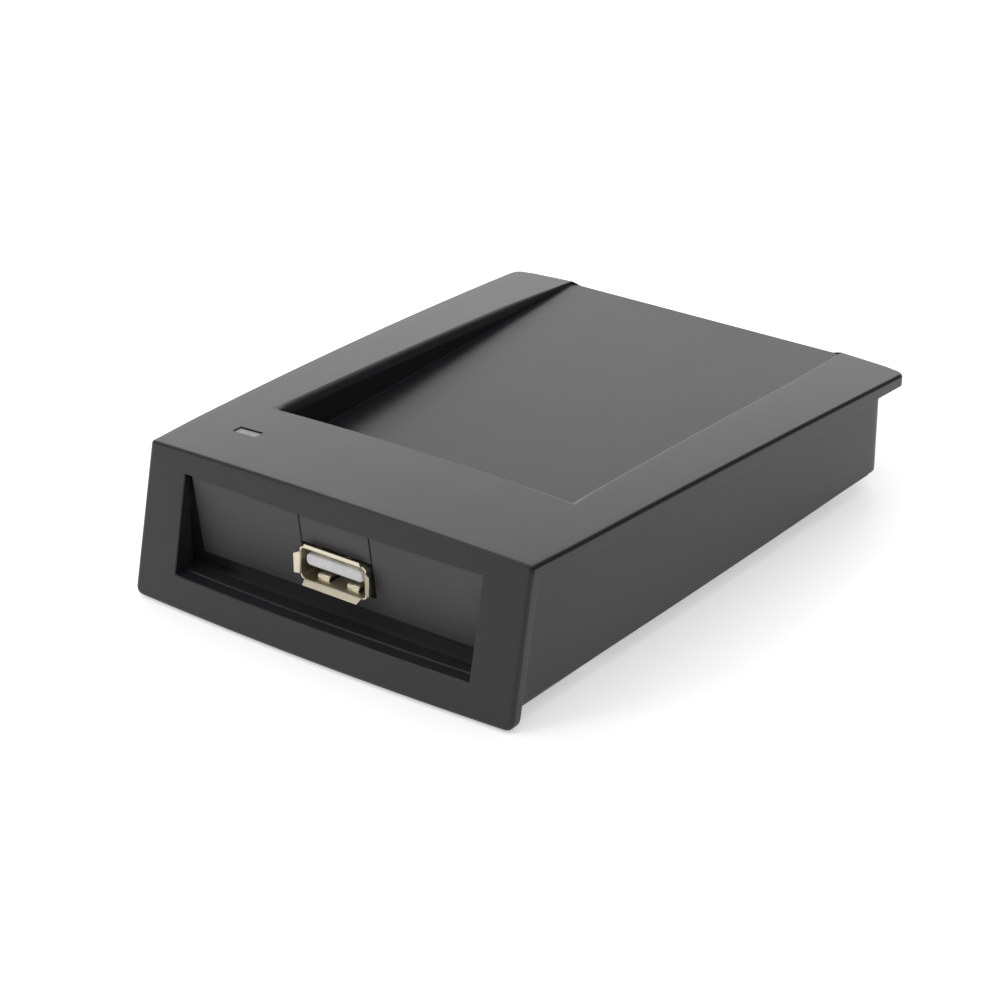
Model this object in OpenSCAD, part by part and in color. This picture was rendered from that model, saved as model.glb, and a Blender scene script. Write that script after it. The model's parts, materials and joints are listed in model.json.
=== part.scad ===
// Desktop contactless smart card reader.
// A wedge-shaped two-part case with a sunk card tray on top and a USB socket in its front frame.
// X runs across the case, the socket end faces -Y, Z is up and the feet stand at Z = 0.

/* [Case] */
// Width of the cover at the socket end
front_w = 74.8; // [73:0.2:78]
// Width of the cover at the card end
rear_w = 82.5; // [81:0.1:86]
// Plan distance from the top front edge to the card end
case_len = 105.4; // [104:0.1:109]
// Height of the top front edge at its corners
front_h = 25.25; // [24.8:0.05:27]
// Fall of the top towards the card end, in degrees
top_fall = 3.36; // [3:0.02:3.6]
// Rise of the top across its width
crown_across = 1.15; // [0.8:0.05:1.6]
// Rise of the top along its length
crown_along = 0.65; // [0.4:0.05:0.8]
// Thickness of the top plate
plate_t = 2.2; // [2:0.1:2.5]
// Radius of the top's corners at the card end
rear_r = 1.6; // [1:0.1:3]
// Thickness of the side and rear walls
wall_t = 2; // [1.6:0.1:2.2]
// Step from the top's edge in to the walls
wall_inset = 1; // [0.6:0.1:1.4]
// Overhang of the top past the rear wall
overhang = 5.8; // [5:0.1:9]
// Radius of the rear wall's corners
wall_r = 2.4; // [2.3:0.1:4]
// Height of the walls' lower edge
wall_low = 2.8; // [2.6:0.1:3]

/* [Front frame] */
// Thickness of the front frame
frame_t = 2.2; // [1.8:0.1:2.6]
// Outward slope of the front frame, in degrees
frame_slope = 12.9; // [11:0.1:14]
// Bulge of the front frame in plan
frame_bulge = 1.06; // [0.8:0.02:1.4]
// Height of the frame's lower edge
frame_low = 0.4; // [0.3:0.05:0.8]
// Radius of the frame's lower corners
frame_r = 1.8; // [1:0.1:2.5]
// Width of the window
window_w = 58.1; // [57:0.1:59]
// Height of the window's lower edge
window_low = 5.85; // [5.7:0.05:6.3]
// Height of the frame above the window
frame_head = 3.1; // [3:0.05:3.3]
// Thickness of the window's inward rim
rim_t = 1.2; // [1:0.1:1.5]
// Plan position of the rim's inner end
rim_y = -0.45; // [-0.6:0.05:-0.4]

/* [Card tray] */
// Width of the tray
tray_w = 57.4; // [57:0.2:58.6]
// Plan position of the tray's closed end
tray_y = 21.9; // [20.5:0.1:22]
// Depth of the tray's closed end below the top front edge
tray_drop = 7.2; // [6.9:0.05:7.3]
// Rise of the tray towards its open end, in degrees
tray_rise = 0.76; // [0.5:0.02:0.9]
// Thickness of the tray's floor
tray_floor_t = 1.8; // [1.5:0.1:2]
// Thickness of the tray's sides
tray_side_t = 1.6; // [1.3:0.1:1.8]

/* [Light] */
// Distance from the top's side edge to the middle of the light window
light_margin = 10.9; // [9.8:0.1:11]
// Position of the light window along the top
light_y = 11.4; // [11:0.1:12.2]
// Width of the light window
light_w = 4.7; // [4:0.1:5]
// Length of the light window
light_l = 2; // [1.6:0.1:2.4]
// Depth of the lens below the top
lens_sunk = 0.5; // [0.3:0.05:0.8]
// Margin of the lens's flange
lens_rim = 0.8; // [0.5:0.1:1]
// Thickness of the lens's flange
lens_rim_t = 0.8; // [0.6:0.1:1]
// Radius of the lamp
led_r = 1.5; // [1.3:0.05:1.6]
// Height of the lamp's straight part
led_h = 3.4; // [3:0.1:3.8]
// Radius of the lamp's foot rim
led_foot_r = 1.9; // [1.8:0.05:2]
// Height of the lamp's foot rim
led_foot_h = 0.9; // [0.6:0.1:1]
// Width of a lamp leg
led_leg_w = 0.5; // [0.4:0.05:0.6]
// Spacing of the lamp's legs
led_pitch = 2.54; // [2.4:0.02:2.6]
// Outer radius of the spacer under the lamp
led_spacer_r = 2.1; // [2:0.05:2.2]
// Gap between the lamp and the lens
led_gap = 0.8; // [0.5:0.1:1.5]

/* [Socket] */
// Width of the socket's shell
usb_w = 13.1; // [13:0.05:13.2]
// Height of the socket's shell
usb_h = 5.7; // [5.6:0.05:5.8]
// Height of the socket's centre line
usb_z = 13.27; // [13.1:0.01:13.5]
// Plan position of the front of the shell's straight body
usb_front = -0.5; // [-0.8:0.1:0]
// Length of the shell's body
usb_len = 13.4; // [12.8:0.1:13.8]
// Thickness of the shell's metal
usb_t = 0.3; // [0.25:0.01:0.32]
// Corner radius of the shell
usb_r = 0.8; // [0.6:0.05:1]
// Length of a flared lip
lip_l = 1.15; // [0.9:0.05:1.3]
// Flare of the lips, in degrees
lip_flare = 40; // [30:1:50]
// Distance from the shell's corners to its lips
lip_corner = 0.85; // [0.8:0.05:1.1]
// Width of a spring finger
finger_w = 2.4; // [2:0.1:2.6]
// Length of a spring finger
finger_l = 5.2; // [4.6:0.1:5.6]
// Spacing of the spring fingers
finger_pitch = 5.8; // [5.4:0.1:6.2]
// Distance from the shell's mouth to a finger's tip
finger_start = 1.2; // [1:0.1:1.6]
// Inward slope of a finger, in degrees
finger_slope = 7; // [5:0.5:8]
// Gap beside the tongue
tongue_side = 0.7; // [0.6:0.05:0.8]
// Thickness of the tongue
tongue_t = 1.84; // [1.7:0.02:1.9]
// Gap over the tongue
tongue_gap = 0.65; // [0.55:0.05:0.7]
// Distance from the shell's mouth to the tongue's tip
tongue_start = 0.8; // [0.6:0.1:1.2]
// Length of the white block behind the tongue
block_l = 2.4; // [2:0.1:2.8]
// Width of a contact
contact_w = 1; // [0.9:0.05:1.1]
// Thickness of a contact
contact_t = 0.25; // [0.2:0.01:0.3]
// Spacing of the outer contacts from the inner ones
contact_outer = 2.5; // [2.4:0.05:2.6]
// Spacing of the two inner contacts
contact_inner = 2; // [1.9:0.05:2.1]
// Length of the contacts' tails below the board
tail_l = 1; // [0.8:0.1:1.4]

/* [Bottom cover] */
// Height of the base plate above the table
foot_h = 2; // [1.8:0.1:2.2]
// Step from the top's edge in to the base plate
base_inset = 1.5; // [1.3:0.1:2]
// Height of the base plate's inner surface
base_top = 4; // [3.9:0.1:4.4]
// Play between the base plate's plug and the walls
plug_gap = 0.2; // [0.15:0.05:0.3]
// Play between the base plate and the front frame
frame_gap = 0.3; // [0.2:0.05:0.5]
// Plan position of the panel's lower edge
panel_y = 1.7; // [1.6:0.05:2]
// Height of the panel's lower edge
panel_z = 7.4; // [7:0.1:7.8]
// Backward lean of the panel, in degrees
panel_lean = 7.7; // [7:0.1:8]
// Width of the panel
panel_w = 55.7; // [54.5:0.1:56]
// Height that the panel stands out in front of the end wall
panel_t = 1.9; // [1.8:0.1:2.2]
// Thickness of the end wall
end_wall_t = 1.6; // [1.4:0.1:2]
// Gap between the end wall and the window's upper edge
end_wall_gap = 0.2; // [0.15:0.05:0.6]
// Play beside the socket
notch_side = 0.4; // [0.3:0.05:0.5]
// Play under the socket
notch_gap = 0.3; // [0.2:0.05:0.4]
// Play beside the tab over the socket
tab_side = 0.2; // [0.15:0.05:0.3]
// Thickness of the tab over the socket
tab_t = 2; // [1.8:0.1:2.4]
// Play over the socket
tab_gap = 0.25; // [0.2:0.05:0.4]

/* [Boards] */
// Gap between the main board and the front bosses
board_side = 0.7; // [0.5:0.05:1]
// Plan position of the main board's front edge
board_y = 5.4; // [5.3:0.1:5.8]
// Gap between the main board and the rear wall
board_gap = 8.5; // [8.3:0.1:10]
// Thickness of the boards
board_t = 1.6; // [1.4:0.1:1.6]
// Width of the antenna board
antenna_w = 52; // [48:1:54]
// Gap between the antenna board and the rear wall
antenna_gap = 4.3; // [3.5:0.1:6]
// Distance from the tray's closed end to the antenna board
antenna_y = 15; // [14:0.5:17]
// Thickness of the antenna board
antenna_t = 1; // [0.8:0.1:1.2]
// Gap between the tray's underside and the antenna board
stake_h = 1; // [0.8:0.1:1.2]
// Radius of a stake's shaft
stake_r = 1; // [0.8:0.05:1.2]
// Radius of a stake's collar and of its melted head
stake_head_r = 1.9; // [1.6:0.1:2.2]
// Height of a stake's melted head
stake_head_h = 0.7; // [0.5:0.1:0.8]
// Margin of the stakes in from the antenna board's edges
stake_margin = 4; // [3:0.5:5]
// Width of a copper loop
loop_w = 0.8; // [0.6:0.1:1]
// Step from one copper loop to the next
loop_step = 1.5; // [1.3:0.1:1.8]
// Thickness of the copper loops
loop_t = 0.12; // [0.1:0.01:0.15]
// Margin of the outer copper loop
loop_margin = 8; // [7.6:0.1:8.5]
// Width of a header pin
pin_w = 0.64; // [0.6:0.02:0.7]
// Spacing of the header's pins
pin_pitch = 2.54; // [2.4:0.02:2.6]
// Width of the header strip
header_w = 10.16; // [10:0.02:10.4]
// Depth of the header strip
header_l = 2.5; // [2.3:0.1:2.6]
// Height of the header strip
header_h = 2.5; // [2:0.1:2.6]
// Distance from the header to the main board's rear edge
header_margin = 2.3; // [1.8:0.1:2.6]

/* [Components] */
// Plan position of the radio chip
reader_y = 52; // [50:0.5:54]
// Width of the radio chip
reader_w = 5; // [4.8:0.1:6]
// Height of the radio chip
reader_h = 0.9; // [0.8:0.05:1]
// Plan position of the controller
controller_y = 36; // [35:0.5:37]
// Width of the controller's body
controller_w = 7; // [6.8:0.1:8]
// Height of the controller's body
controller_h = 1.4; // [1.2:0.1:1.6]
// Length of a controller leg
leg_l = 1; // [0.8:0.1:1.2]
// Width of a controller leg
leg_w = 0.24; // [0.2:0.02:0.26]
// Thickness of a controller leg
leg_t = 0.16; // [0.12:0.02:0.2]
// Height of a controller leg at the body
leg_h = 0.7; // [0.5:0.05:0.9]
// Spacing of the controller's legs
leg_pitch = 0.5; // [0.48:0.01:0.55]
// Length of a crystal's can
crystal_l = 11.4; // [11:0.1:11.8]
// Width of a crystal's can
crystal_w = 4.7; // [4.4:0.1:4.9]
// Height of a crystal's can
crystal_h = 3.5; // [3:0.1:3.6]
// Width of a crystal's base flange
crystal_rim = 0.45; // [0.3:0.05:0.5]
// Plan position of the crystals
crystal_y = 26; // [25:0.5:27]
// Sideways position of the crystals
crystal_x = 15.5; // [15:0.5:17]
// Radius of the buzzer
buzzer_r = 6; // [5.5:0.1:6.1]
// Height of the buzzer
buzzer_h = 9.2; // [8.5:0.1:9.5]
// Radius of the buzzer's sound hole
buzzer_hole_r = 1.2; // [1:0.1:1.5]
// Depth of the buzzer's sound hole
buzzer_hole_d = 2; // [1.5:0.1:3]
// Distance from the main board's side to the middle of the buzzer
buzzer_side = 11.1; // [10.9:0.1:11.4]
// Plan position of the buzzer
buzzer_y = 12.6; // [12.4:0.1:12.8]
// Radius of the reservoir capacitor
cap_r = 4; // [3.8:0.1:4.1]
// Height of the reservoir capacitor
cap_h = 10.2; // [9.5:0.1:10.5]
// Depth of the groove round the capacitor's sleeve
cap_groove = 0.35; // [0.2:0.05:0.4]
// Height of the sleeve below the groove
cap_foot_h = 1; // [0.8:0.1:1.4]
// Distance from the main board's side to the middle of the capacitor
cap_side = 12; // [11.5:0.1:12.4]
// Plan position of the capacitor
cap_y = 12.6; // [12.2:0.1:13]
// Radius of the power inductor
coil_r = 3; // [2.8:0.1:3.2]
// Height of the power inductor
coil_h = 3; // [2.6:0.1:3.2]
// Depth of the inductor's winding groove
coil_groove = 0.6; // [0.4:0.05:0.8]
// Thickness of the inductor's upper and lower discs
coil_disc_t = 0.75; // [0.6:0.05:1]
// Sideways position of the inductor
coil_x = -15; // [-16:0.5:-14]
// Plan position of the inductor
coil_y = 36; // [35:0.5:37]
// Length of a chip part
chip_l = 2; // [1.8:0.1:2.1]
// Width of a chip part
chip_w = 1.25; // [1.1:0.05:1.3]
// Height of a chip capacitor
chip_cap_h = 0.95; // [0.8:0.05:1]
// Height of a chip resistor
chip_res_h = 0.5; // [0.4:0.05:0.6]
// Spacing of the chip parts in a row
chip_pitch = 3.2; // [3:0.1:3.4]
// Sideways position of the rows of chip parts
chip_x = 13; // [12.5:0.5:14]
// Plan position of the first chip parts
chip_y = 46; // [45:0.5:47]

/* [Fasteners] */
// Radius of the bosses for the cover screws
boss_r = 3; // [2.8:0.1:3.1]
// Radius of the bosses' bores
boss_bore_r = 1.25; // [1.2:0.05:1.3]
// Depth of the bosses' bores
boss_bore_d = 9; // [8:0.5:10]
// Distance from the walls to the cover screws
screw_side = 2.7; // [2.6:0.05:2.8]
// Plan position of the front cover screws
front_screw_y = 17.6; // [17:0.1:18]
// Distance from the rear wall to the rear cover screws
rear_screw_gap = 4.8; // [4.4:0.1:5.2]
// Radius of a screw's shank
shank_r = 1.2; // [1.1:0.05:1.2]
// Length of a cover screw's shank
shank_l = 8; // [7:0.5:8.5]
// Radius of a screw's head
head_r = 2.4; // [2.2:0.1:2.5]
// Height of a screw's head
head_h = 1; // [0.9:0.05:1.1]
// Width of the cross in a screw's head
cross_w = 0.6; // [0.5:0.05:0.7]
// Length of the cross in a screw's head
cross_l = 2.6; // [2.2:0.1:2.8]
// Depth of the cross in a screw's head
cross_d = 0.6; // [0.5:0.05:0.7]
// Play round the screws
screw_gap = 0.3; // [0.2:0.05:0.4]
// Play round pressed and threaded pieces
fit_gap = 0.05; // [0.04:0.01:0.08]
// Radius of the board's posts
post_r = 2.8; // [2.6:0.1:3]
// Distance from the main board's sides to its posts
post_side = 3.3; // [3.2:0.1:3.6]
// Plan position of the front posts
post_front_y = 17.6; // [17.4:0.1:17.8]
// Distance from the main board's rear edge to the rear posts
post_rear = 3.8; // [3.4:0.1:5]
// Length of a board screw's shank
board_shank_l = 5; // [4:0.5:5.5]
// Radius of a foot
foot_r = 4.5; // [4:0.1:4.8]
// Depth that a foot is let into the base plate
foot_seat = 0.4; // [0.3:0.05:0.5]
// Sideways position of the front feet
foot_front_x = 26; // [24:0.5:27]
// Plan position of the front feet
foot_front_y = 9; // [8:0.5:9.5]
// Sideways position of the rear feet
foot_rear_x = 28; // [26:0.5:28.5]
// Distance from the rear wall's outer face to the rear feet
foot_rear_gap = 18.3; // [17:0.1:20]

/* [Hidden] */
// Overrun of cuts past the surfaces that they open
over = 1;
// Run of the bodies that are later trimmed to the case
beyond = 12;
// Smoothness of small rounds
round_fn = 48;
// Smoothness of the large crowned surfaces
sweep_fn = 1440;
wall_rear = case_len - overhang;
flare = (rear_w - front_w) / 2 / case_len;
flare_deg = atan(flare);
top_len = case_len / cos(top_fall);
mean_half = (front_w + rear_w) / 4;
r_across = mean_half * mean_half / (2 * crown_across) + crown_across / 2;
r_along = top_len * top_len / (8 * crown_along) + crown_along / 2;
crown_depth = 2 * front_h + beyond;
crown_span = 2 * asin((top_len / 2 + beyond) / (r_along - crown_depth));
r_frame = front_w * front_w / (8 * frame_bulge) + frame_bulge / 2;
frame_depth = case_len + beyond;
frame_span = 2 * asin((rear_w / 2 + beyond) / (r_frame - frame_depth));
frame_back = frame_t / cos(frame_slope);
high = front_h + beyond;
nose = -frame_bulge - (front_h - frame_low) * tan(frame_slope);
y_shift = -(nose + case_len) / 2;
inner_rear = wall_rear - wall_t;
window_top = front_h - frame_head;
tray_h = front_h - tray_drop;
end_wall_top = window_top - end_wall_gap;
notch_w = usb_w + 2 * notch_side;
tab_w = notch_w - 2 * tab_side;
lip_w = usb_w - 2 * lip_corner;
lip_h = usb_h - 2 * lip_corner;
tongue_w = usb_w - 2 * usb_t - 2 * tongue_side;
board_z = usb_z - usb_h / 2 - board_t;
board_top = board_z + board_t;
board_w = front_w + 2 * (flare * front_screw_y - wall_inset - wall_t - screw_side - boss_r - board_side);
board_l = inner_rear - board_gap - board_y;
antenna_l = inner_rear - antenna_gap - tray_y - antenna_y;
header_y = board_y + board_l - header_margin;
light_x = light_margin - front_w / 2;
light_z = crown_across * (1 - pow(light_x / mean_half, 2)) + crown_along * (1 - pow(2 * light_y / top_len - 1, 2));
lens_low = front_h - light_y * sin(top_fall) + (light_z - plate_t - lens_rim_t) * cos(top_fall);
led_z = lens_low - led_gap - led_r - led_h;
led_y = light_y * cos(top_fall);
tongue_z = usb_z + usb_h / 2 - usb_t - tongue_gap - tongue_t;
usb_back = usb_front + usb_len;
antenna_z = -tray_floor_t - stake_h - antenna_t;
cover_spots = [
  for (y = [front_screw_y, inner_rear - rear_screw_gap]) for (s = [-1, 1])
    [s * (front_w / 2 + flare * y - wall_inset - wall_t - screw_side), y]
];
buzzer_x = board_w / 2 - buzzer_side;
cap_x = cap_side - board_w / 2;
post_spots = [
  for (y = [post_front_y, board_y + board_l - post_rear]) for (s = [-1, 1])
    [s * (board_w / 2 - post_side), y]
];
foot_rear_y = wall_rear - foot_rear_gap;
foot_spots = [
  [-foot_front_x, foot_front_y], [foot_front_x, foot_front_y],
  [-foot_rear_x, foot_rear_y], [foot_rear_x, foot_rear_y]
];
stake_spots = [
  for (x = [-1, 1]) for (y = [stake_margin, antenna_l - stake_margin])
    [x * (antenna_w / 2 - stake_margin), antenna_y + y]
];
contact_spots = [
  -contact_inner / 2 - contact_outer, -contact_inner / 2,
  contact_inner / 2, contact_inner / 2 + contact_outer
];
black = [0.09, 0.09, 0.1];
green = [0.05, 0.3, 0.16];
silver = [0.72, 0.72, 0.7];
nickel = [0.72, 0.68, 0.55];
brass = [0.75, 0.6, 0.32];

// Moves a piece from the front edge's frame to the middle of the case
module placed() {
  translate([0, y_shift, 0])
    children();
}

// Frame of the sloping top, at its front edge
module at_top() {
  translate([0, 0, front_h])
    rotate([-top_fall, 0, 0])
      children();
}

// Frame of the light window, square to the crowned top
module at_light() {
  at_top()
    translate([light_x, light_y, light_z])
      rotate([asin((top_len / 2 - light_y) / r_along), asin(light_x / r_across), 0])
        children();
}

// Frame of the tray's surface, at its closed end
module on_tray() {
  translate([0, tray_y, tray_h])
    rotate([tray_rise, 0, 0])
      children();
}

// Frame of the leaning panel, at its lower edge
module at_panel() {
  translate([0, panel_y, panel_z])
    rotate([panel_lean, 0, 0])
      children();
}

// Everything under the crowned top, lowered by drop
module crown(drop) {
  at_top()
    translate([0, top_len / 2, crown_across + crown_along - r_along])
      rotate([0, -90, 0])
        rotate([0, 0, -crown_span / 2])
          rotate_extrude(angle = crown_span, $fn = sweep_fn)
            translate([r_along - r_across, 0])
              intersection() {
                circle(r = r_across - drop, $fn = sweep_fn);
                translate([r_across - crown_depth, -rear_w])
                  square([crown_depth, 2 * rear_w]);
              }
}

function face_r(z) = r_frame + (front_h - z) * tan(frame_slope);

// Everything behind the bulged and sloping front face, moved back by back
module behind_front(back) {
  translate([0, r_frame - frame_bulge, 0])
    rotate([0, 0, -90 - frame_span / 2])
      rotate_extrude(angle = frame_span, $fn = sweep_fn)
        polygon([
          [r_frame - frame_depth, -over],
          [face_r(-over) - back, -over],
          [face_r(high) - back, high],
          [r_frame - frame_depth, high]
        ]);
}

// Plan of the case, inset from the top's edge, with a rounded card end
module plan(inset, rear, r) {
  side = inset / cos(flare_deg);
  cx = front_w / 2 + flare * (rear - r) - side - r / cos(flare_deg);
  tx = cx + r * cos(flare_deg);
  ty = rear - r - r * sin(flare_deg);
  polygon([
    [-front_w / 2 + side, -beyond], [front_w / 2 - side, -beyond], [front_w / 2 - side, 0],
    [tx, ty], [cx, rear], [-cx, rear], [-tx, ty], [-front_w / 2 + side, 0]
  ]);
  for (x = [-cx, cx])
    translate([x, rear - r])
      circle(r = r, $fn = round_fn);
}

module plan_block(inset, rear, r, low, top) {
  translate([0, 0, low])
    linear_extrude(height = top - low)
      plan(inset, rear, r);
}

// Front view of the frame, with rounded lower corners
module front_view() {
  translate([-front_w / 2, frame_low + frame_r])
    square([front_w, high]);
  translate([-front_w / 2 + frame_r, frame_low])
    square([front_w - 2 * frame_r, high]);
  for (x = [-1, 1])
    translate([x * (front_w / 2 - frame_r), frame_low + frame_r])
      circle(r = frame_r, $fn = round_fn);
}

module top_plate() {
  difference() {
    intersection() {
      plan_block(0, case_len, rear_r, 0, high);
      crown(0);
      behind_front(0);
    }
    difference() {
      crown(plate_t);
      at_top()
        translate([-rear_w, wall_rear - wall_t / 2, -plate_t])
          cube([2 * rear_w, overhang + beyond, plate_t + beyond]);
    }
  }
}

module walls() {
  intersection() {
    difference() {
      plan_block(wall_inset, wall_rear, wall_r, wall_low, high);
      plan_block(wall_inset + wall_t, wall_rear - wall_t, wall_r - wall_t, 0, high + over);
    }
    crown(plate_t / 2);
    behind_front(frame_back / 2);
  }
}

module front_frame() {
  difference() {
    union() {
      intersection() {
        difference() {
          behind_front(0);
          behind_front(frame_back);
        }
        translate([0, beyond, 0])
          rotate([90, 0, 0])
            linear_extrude(height = 2 * beyond)
              front_view();
        crown(plate_t / 2);
      }
      intersection() {
        translate([-window_w / 2 - rim_t, -beyond, window_low - rim_t])
          cube([window_w + 2 * rim_t, rim_y + beyond, window_top - window_low + 2 * rim_t]);
        behind_front(frame_back / 2);
        crown(plate_t / 2);
      }
    }
    translate([-window_w / 2, -beyond, window_low])
      cube([window_w, 2 * beyond, window_top - window_low]);
  }
}

module tray_tub() {
  intersection() {
    on_tray()
      translate([-tray_w / 2 - tray_side_t, -tray_side_t, -tray_floor_t])
        cube([tray_w + 2 * tray_side_t, wall_rear - wall_t / 2 - tray_y + tray_side_t, beyond]);
    crown(plate_t / 2);
  }
  on_tray()
    for (p = stake_spots)
      translate([p[0], p[1], -tray_floor_t - stake_h]) {
        cylinder(r = stake_head_r, h = stake_h + tray_floor_t / 2, $fn = round_fn);
        translate([0, 0, -antenna_t])
          cylinder(r = stake_r, h = antenna_t + over / 2, $fn = round_fn);
        translate([0, 0, -antenna_t - stake_head_h])
          cylinder(r1 = stake_r, r2 = stake_head_r, h = stake_head_h, $fn = round_fn);
      }
}

module socket_tab() {
  intersection() {
    at_panel()
      translate([-tab_w / 2, 0, 0])
        cube([tab_w, tab_t, front_h]);
    translate([-tab_w, -beyond, usb_z + usb_h / 2 + tab_gap])
      cube([2 * tab_w, 2 * beyond, front_h]);
    crown(plate_t / 2);
  }
}

module top_housing() color(black) placed()
  difference() {
    union() {
      top_plate();
      walls();
      front_frame();
      tray_tub();
      socket_tab();
      intersection() {
        for (p = cover_spots)
          translate([p[0], p[1], base_top])
            cylinder(r = boss_r, h = front_h, $fn = round_fn);
        crown(plate_t / 2);
      }
    }
    on_tray()
      translate([-tray_w / 2, 0, 0])
        cube([tray_w, case_len, beyond]);
    at_light()
      translate([-light_w / 2, -light_l / 2, -2 * plate_t])
        cube([light_w, light_l, 4 * plate_t]);
    for (p = cover_spots)
      translate([p[0], p[1], base_top - over])
        cylinder(r = boss_bore_r, h = boss_bore_d + over, $fn = round_fn);
  }

module end_wall() {
  intersection() {
    union() {
      at_panel()
        translate([-panel_w / 2, 0, 0])
          cube([panel_w, panel_t + over / 2, front_h]);
      at_panel()
        translate([-front_w / 2 + wall_inset + wall_t + plug_gap, panel_t, -beyond])
          cube([front_w - 2 * (wall_inset + wall_t + plug_gap), end_wall_t, front_h + beyond]);
    }
    translate([-front_w / 2, -beyond, wall_low])
      cube([front_w, 2 * beyond, end_wall_top - wall_low]);
  }
}

module bottom_cover() color(black) placed()
  difference() {
    union() {
      intersection() {
        union() {
          plan_block(base_inset, wall_rear - base_inset + wall_inset, wall_r, foot_h, wall_low);
          plan_block(
            wall_inset + wall_t + plug_gap, wall_rear - wall_t - plug_gap, wall_r,
            foot_h, base_top
          );
        }
        behind_front(frame_back + frame_gap);
      }
      end_wall();
      for (p = post_spots)
        translate([p[0], p[1], wall_low])
          cylinder(r = post_r, h = board_z - wall_low, $fn = round_fn);
    }
    translate([-notch_w / 2, -beyond, usb_z - usb_h / 2 - notch_gap])
      cube([notch_w, 2 * beyond, front_h]);
    for (p = cover_spots)
      translate([p[0], p[1], foot_h - over]) {
        cylinder(r = shank_r + screw_gap, h = front_h, $fn = round_fn);
        cylinder(r = head_r + screw_gap, h = head_h + over, $fn = round_fn);
      }
    for (p = foot_spots)
      translate([p[0], p[1], foot_h - over])
        cylinder(r = foot_r + fit_gap, h = foot_seat + over, $fn = round_fn);
    for (p = post_spots)
      translate([p[0], p[1], board_top - board_shank_l - over / 2])
        cylinder(r = shank_r + fit_gap, h = board_shank_l + over, $fn = round_fn);
  }

module light_lens() color([0.8, 0.82, 0.82]) placed()
  at_light() {
    translate([-light_w / 2 + fit_gap, -light_l / 2 + fit_gap, -plate_t - lens_rim_t])
      cube([light_w - 2 * fit_gap, light_l - 2 * fit_gap, plate_t + lens_rim_t - lens_sunk]);
    translate([-light_w / 2 - lens_rim, -light_l / 2 - lens_rim, -plate_t - lens_rim_t])
      cube([light_w + 2 * lens_rim, light_l + 2 * lens_rim, lens_rim_t]);
  }

module at_led() {
  translate([light_x, led_y, led_z])
    children();
}

module status_led() color([0.85, 0.86, 0.84]) placed()
  at_led() {
    cylinder(r = led_foot_r, h = led_foot_h, $fn = round_fn);
    cylinder(r = led_r, h = led_h, $fn = round_fn);
    intersection() {
      translate([0, 0, led_h])
        sphere(r = led_r, $fn = round_fn);
      translate([-led_r, -led_r, led_foot_h])
        cube([2 * led_r, 2 * led_r, led_h + 2 * led_r]);
    }
  }

module led_leads() color(silver) placed()
  for (s = [-1, 1])
    translate([light_x + s * led_pitch / 2, led_y, 0])
      translate([-led_leg_w / 2, -led_leg_w / 2, board_z - tail_l])
        cube([led_leg_w, led_leg_w, led_z - board_z + tail_l]);

module led_spacer() color([0.9, 0.9, 0.88]) placed()
  difference() {
    translate([light_x, led_y, board_top])
      cylinder(r = led_spacer_r, h = led_z - board_top, $fn = round_fn);
    for (s = [-1, 1])
      translate([light_x + s * led_pitch / 2, led_y, 0])
        cube([led_leg_w + 2 * fit_gap, led_leg_w + 2 * fit_gap, 2 * front_h], center = true);
  }

// Cross-section of the socket's shell
module shell_face(inset) {
  w = usb_w - 2 * inset;
  h = usb_h - 2 * inset;
  r = usb_r - inset;
  translate([-w / 2 + r, -h / 2])
    square([w - 2 * r, h]);
  translate([-w / 2, -h / 2 + r])
    square([w, h - 2 * r]);
  for (x = [-1, 1])
    for (z = [-1, 1])
      translate([x * (w / 2 - r), z * (h / 2 - r)])
        circle(r = r, $fn = round_fn);
}

module shell_tube(inset, front, back) {
  translate([0, back, usb_z])
    rotate([90, 0, 0])
      linear_extrude(height = back - front)
        shell_face(inset);
}

module usb_shell() color(nickel) placed() {
  difference() {
    shell_tube(0, usb_front, usb_back);
    shell_tube(usb_t, usb_front - over, usb_back - usb_t);
    for (x = [-1, 1])
      for (z = [-1, 1])
        translate([x * finger_pitch / 2, usb_front + finger_start + finger_l / 2, usb_z + z * usb_h / 2])
          cube([finger_w + 2 * usb_t, finger_l, 2 * usb_t + over / 2], center = true);
    for (x = contact_spots)
      translate([x, usb_back, usb_z - usb_h / 2])
        cube([contact_w + 2 * fit_gap, 2 * block_l, usb_h], center = true);
  }
  for (z = [0, 1])
    translate([0, usb_front, usb_z])
      mirror([0, 0, z]) {
        translate([-lip_w / 2, 0, usb_h / 2 - usb_t])
          rotate([-lip_flare, 0, 0])
            translate([0, -lip_l, 0])
              cube([lip_w, lip_l + usb_t / 2, usb_t]);
        for (x = [-1, 1])
          translate([x * finger_pitch / 2 - finger_w / 2, finger_start + finger_l + usb_t / 2, usb_h / 2 - usb_t])
            rotate([finger_slope, 0, 0])
              translate([0, -finger_l, 0])
                cube([finger_w, finger_l, usb_t]);
      }
  for (x = [0, 1])
    translate([0, usb_front, usb_z])
      mirror([x, 0, 0])
        translate([usb_w / 2 - usb_t, 0, -lip_h / 2])
          rotate([0, 0, lip_flare])
            translate([0, -lip_l, 0])
              cube([usb_t, lip_l + usb_t / 2, lip_h]);
}

module contact_path(play) {
  for (x = contact_spots)
    translate([x - contact_w / 2 - play, 0, 0]) {
      translate([0, usb_front + tongue_start + over, tongue_z - contact_t - play])
        cube([contact_w + 2 * play, usb_len - tongue_start - over + usb_t, contact_t + play]);
      translate([0, usb_back - usb_t - contact_t - play, board_z - tail_l])
        cube([contact_w + 2 * play, contact_t + 2 * play, tongue_z - board_z + tail_l]);
    }
}

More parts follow.
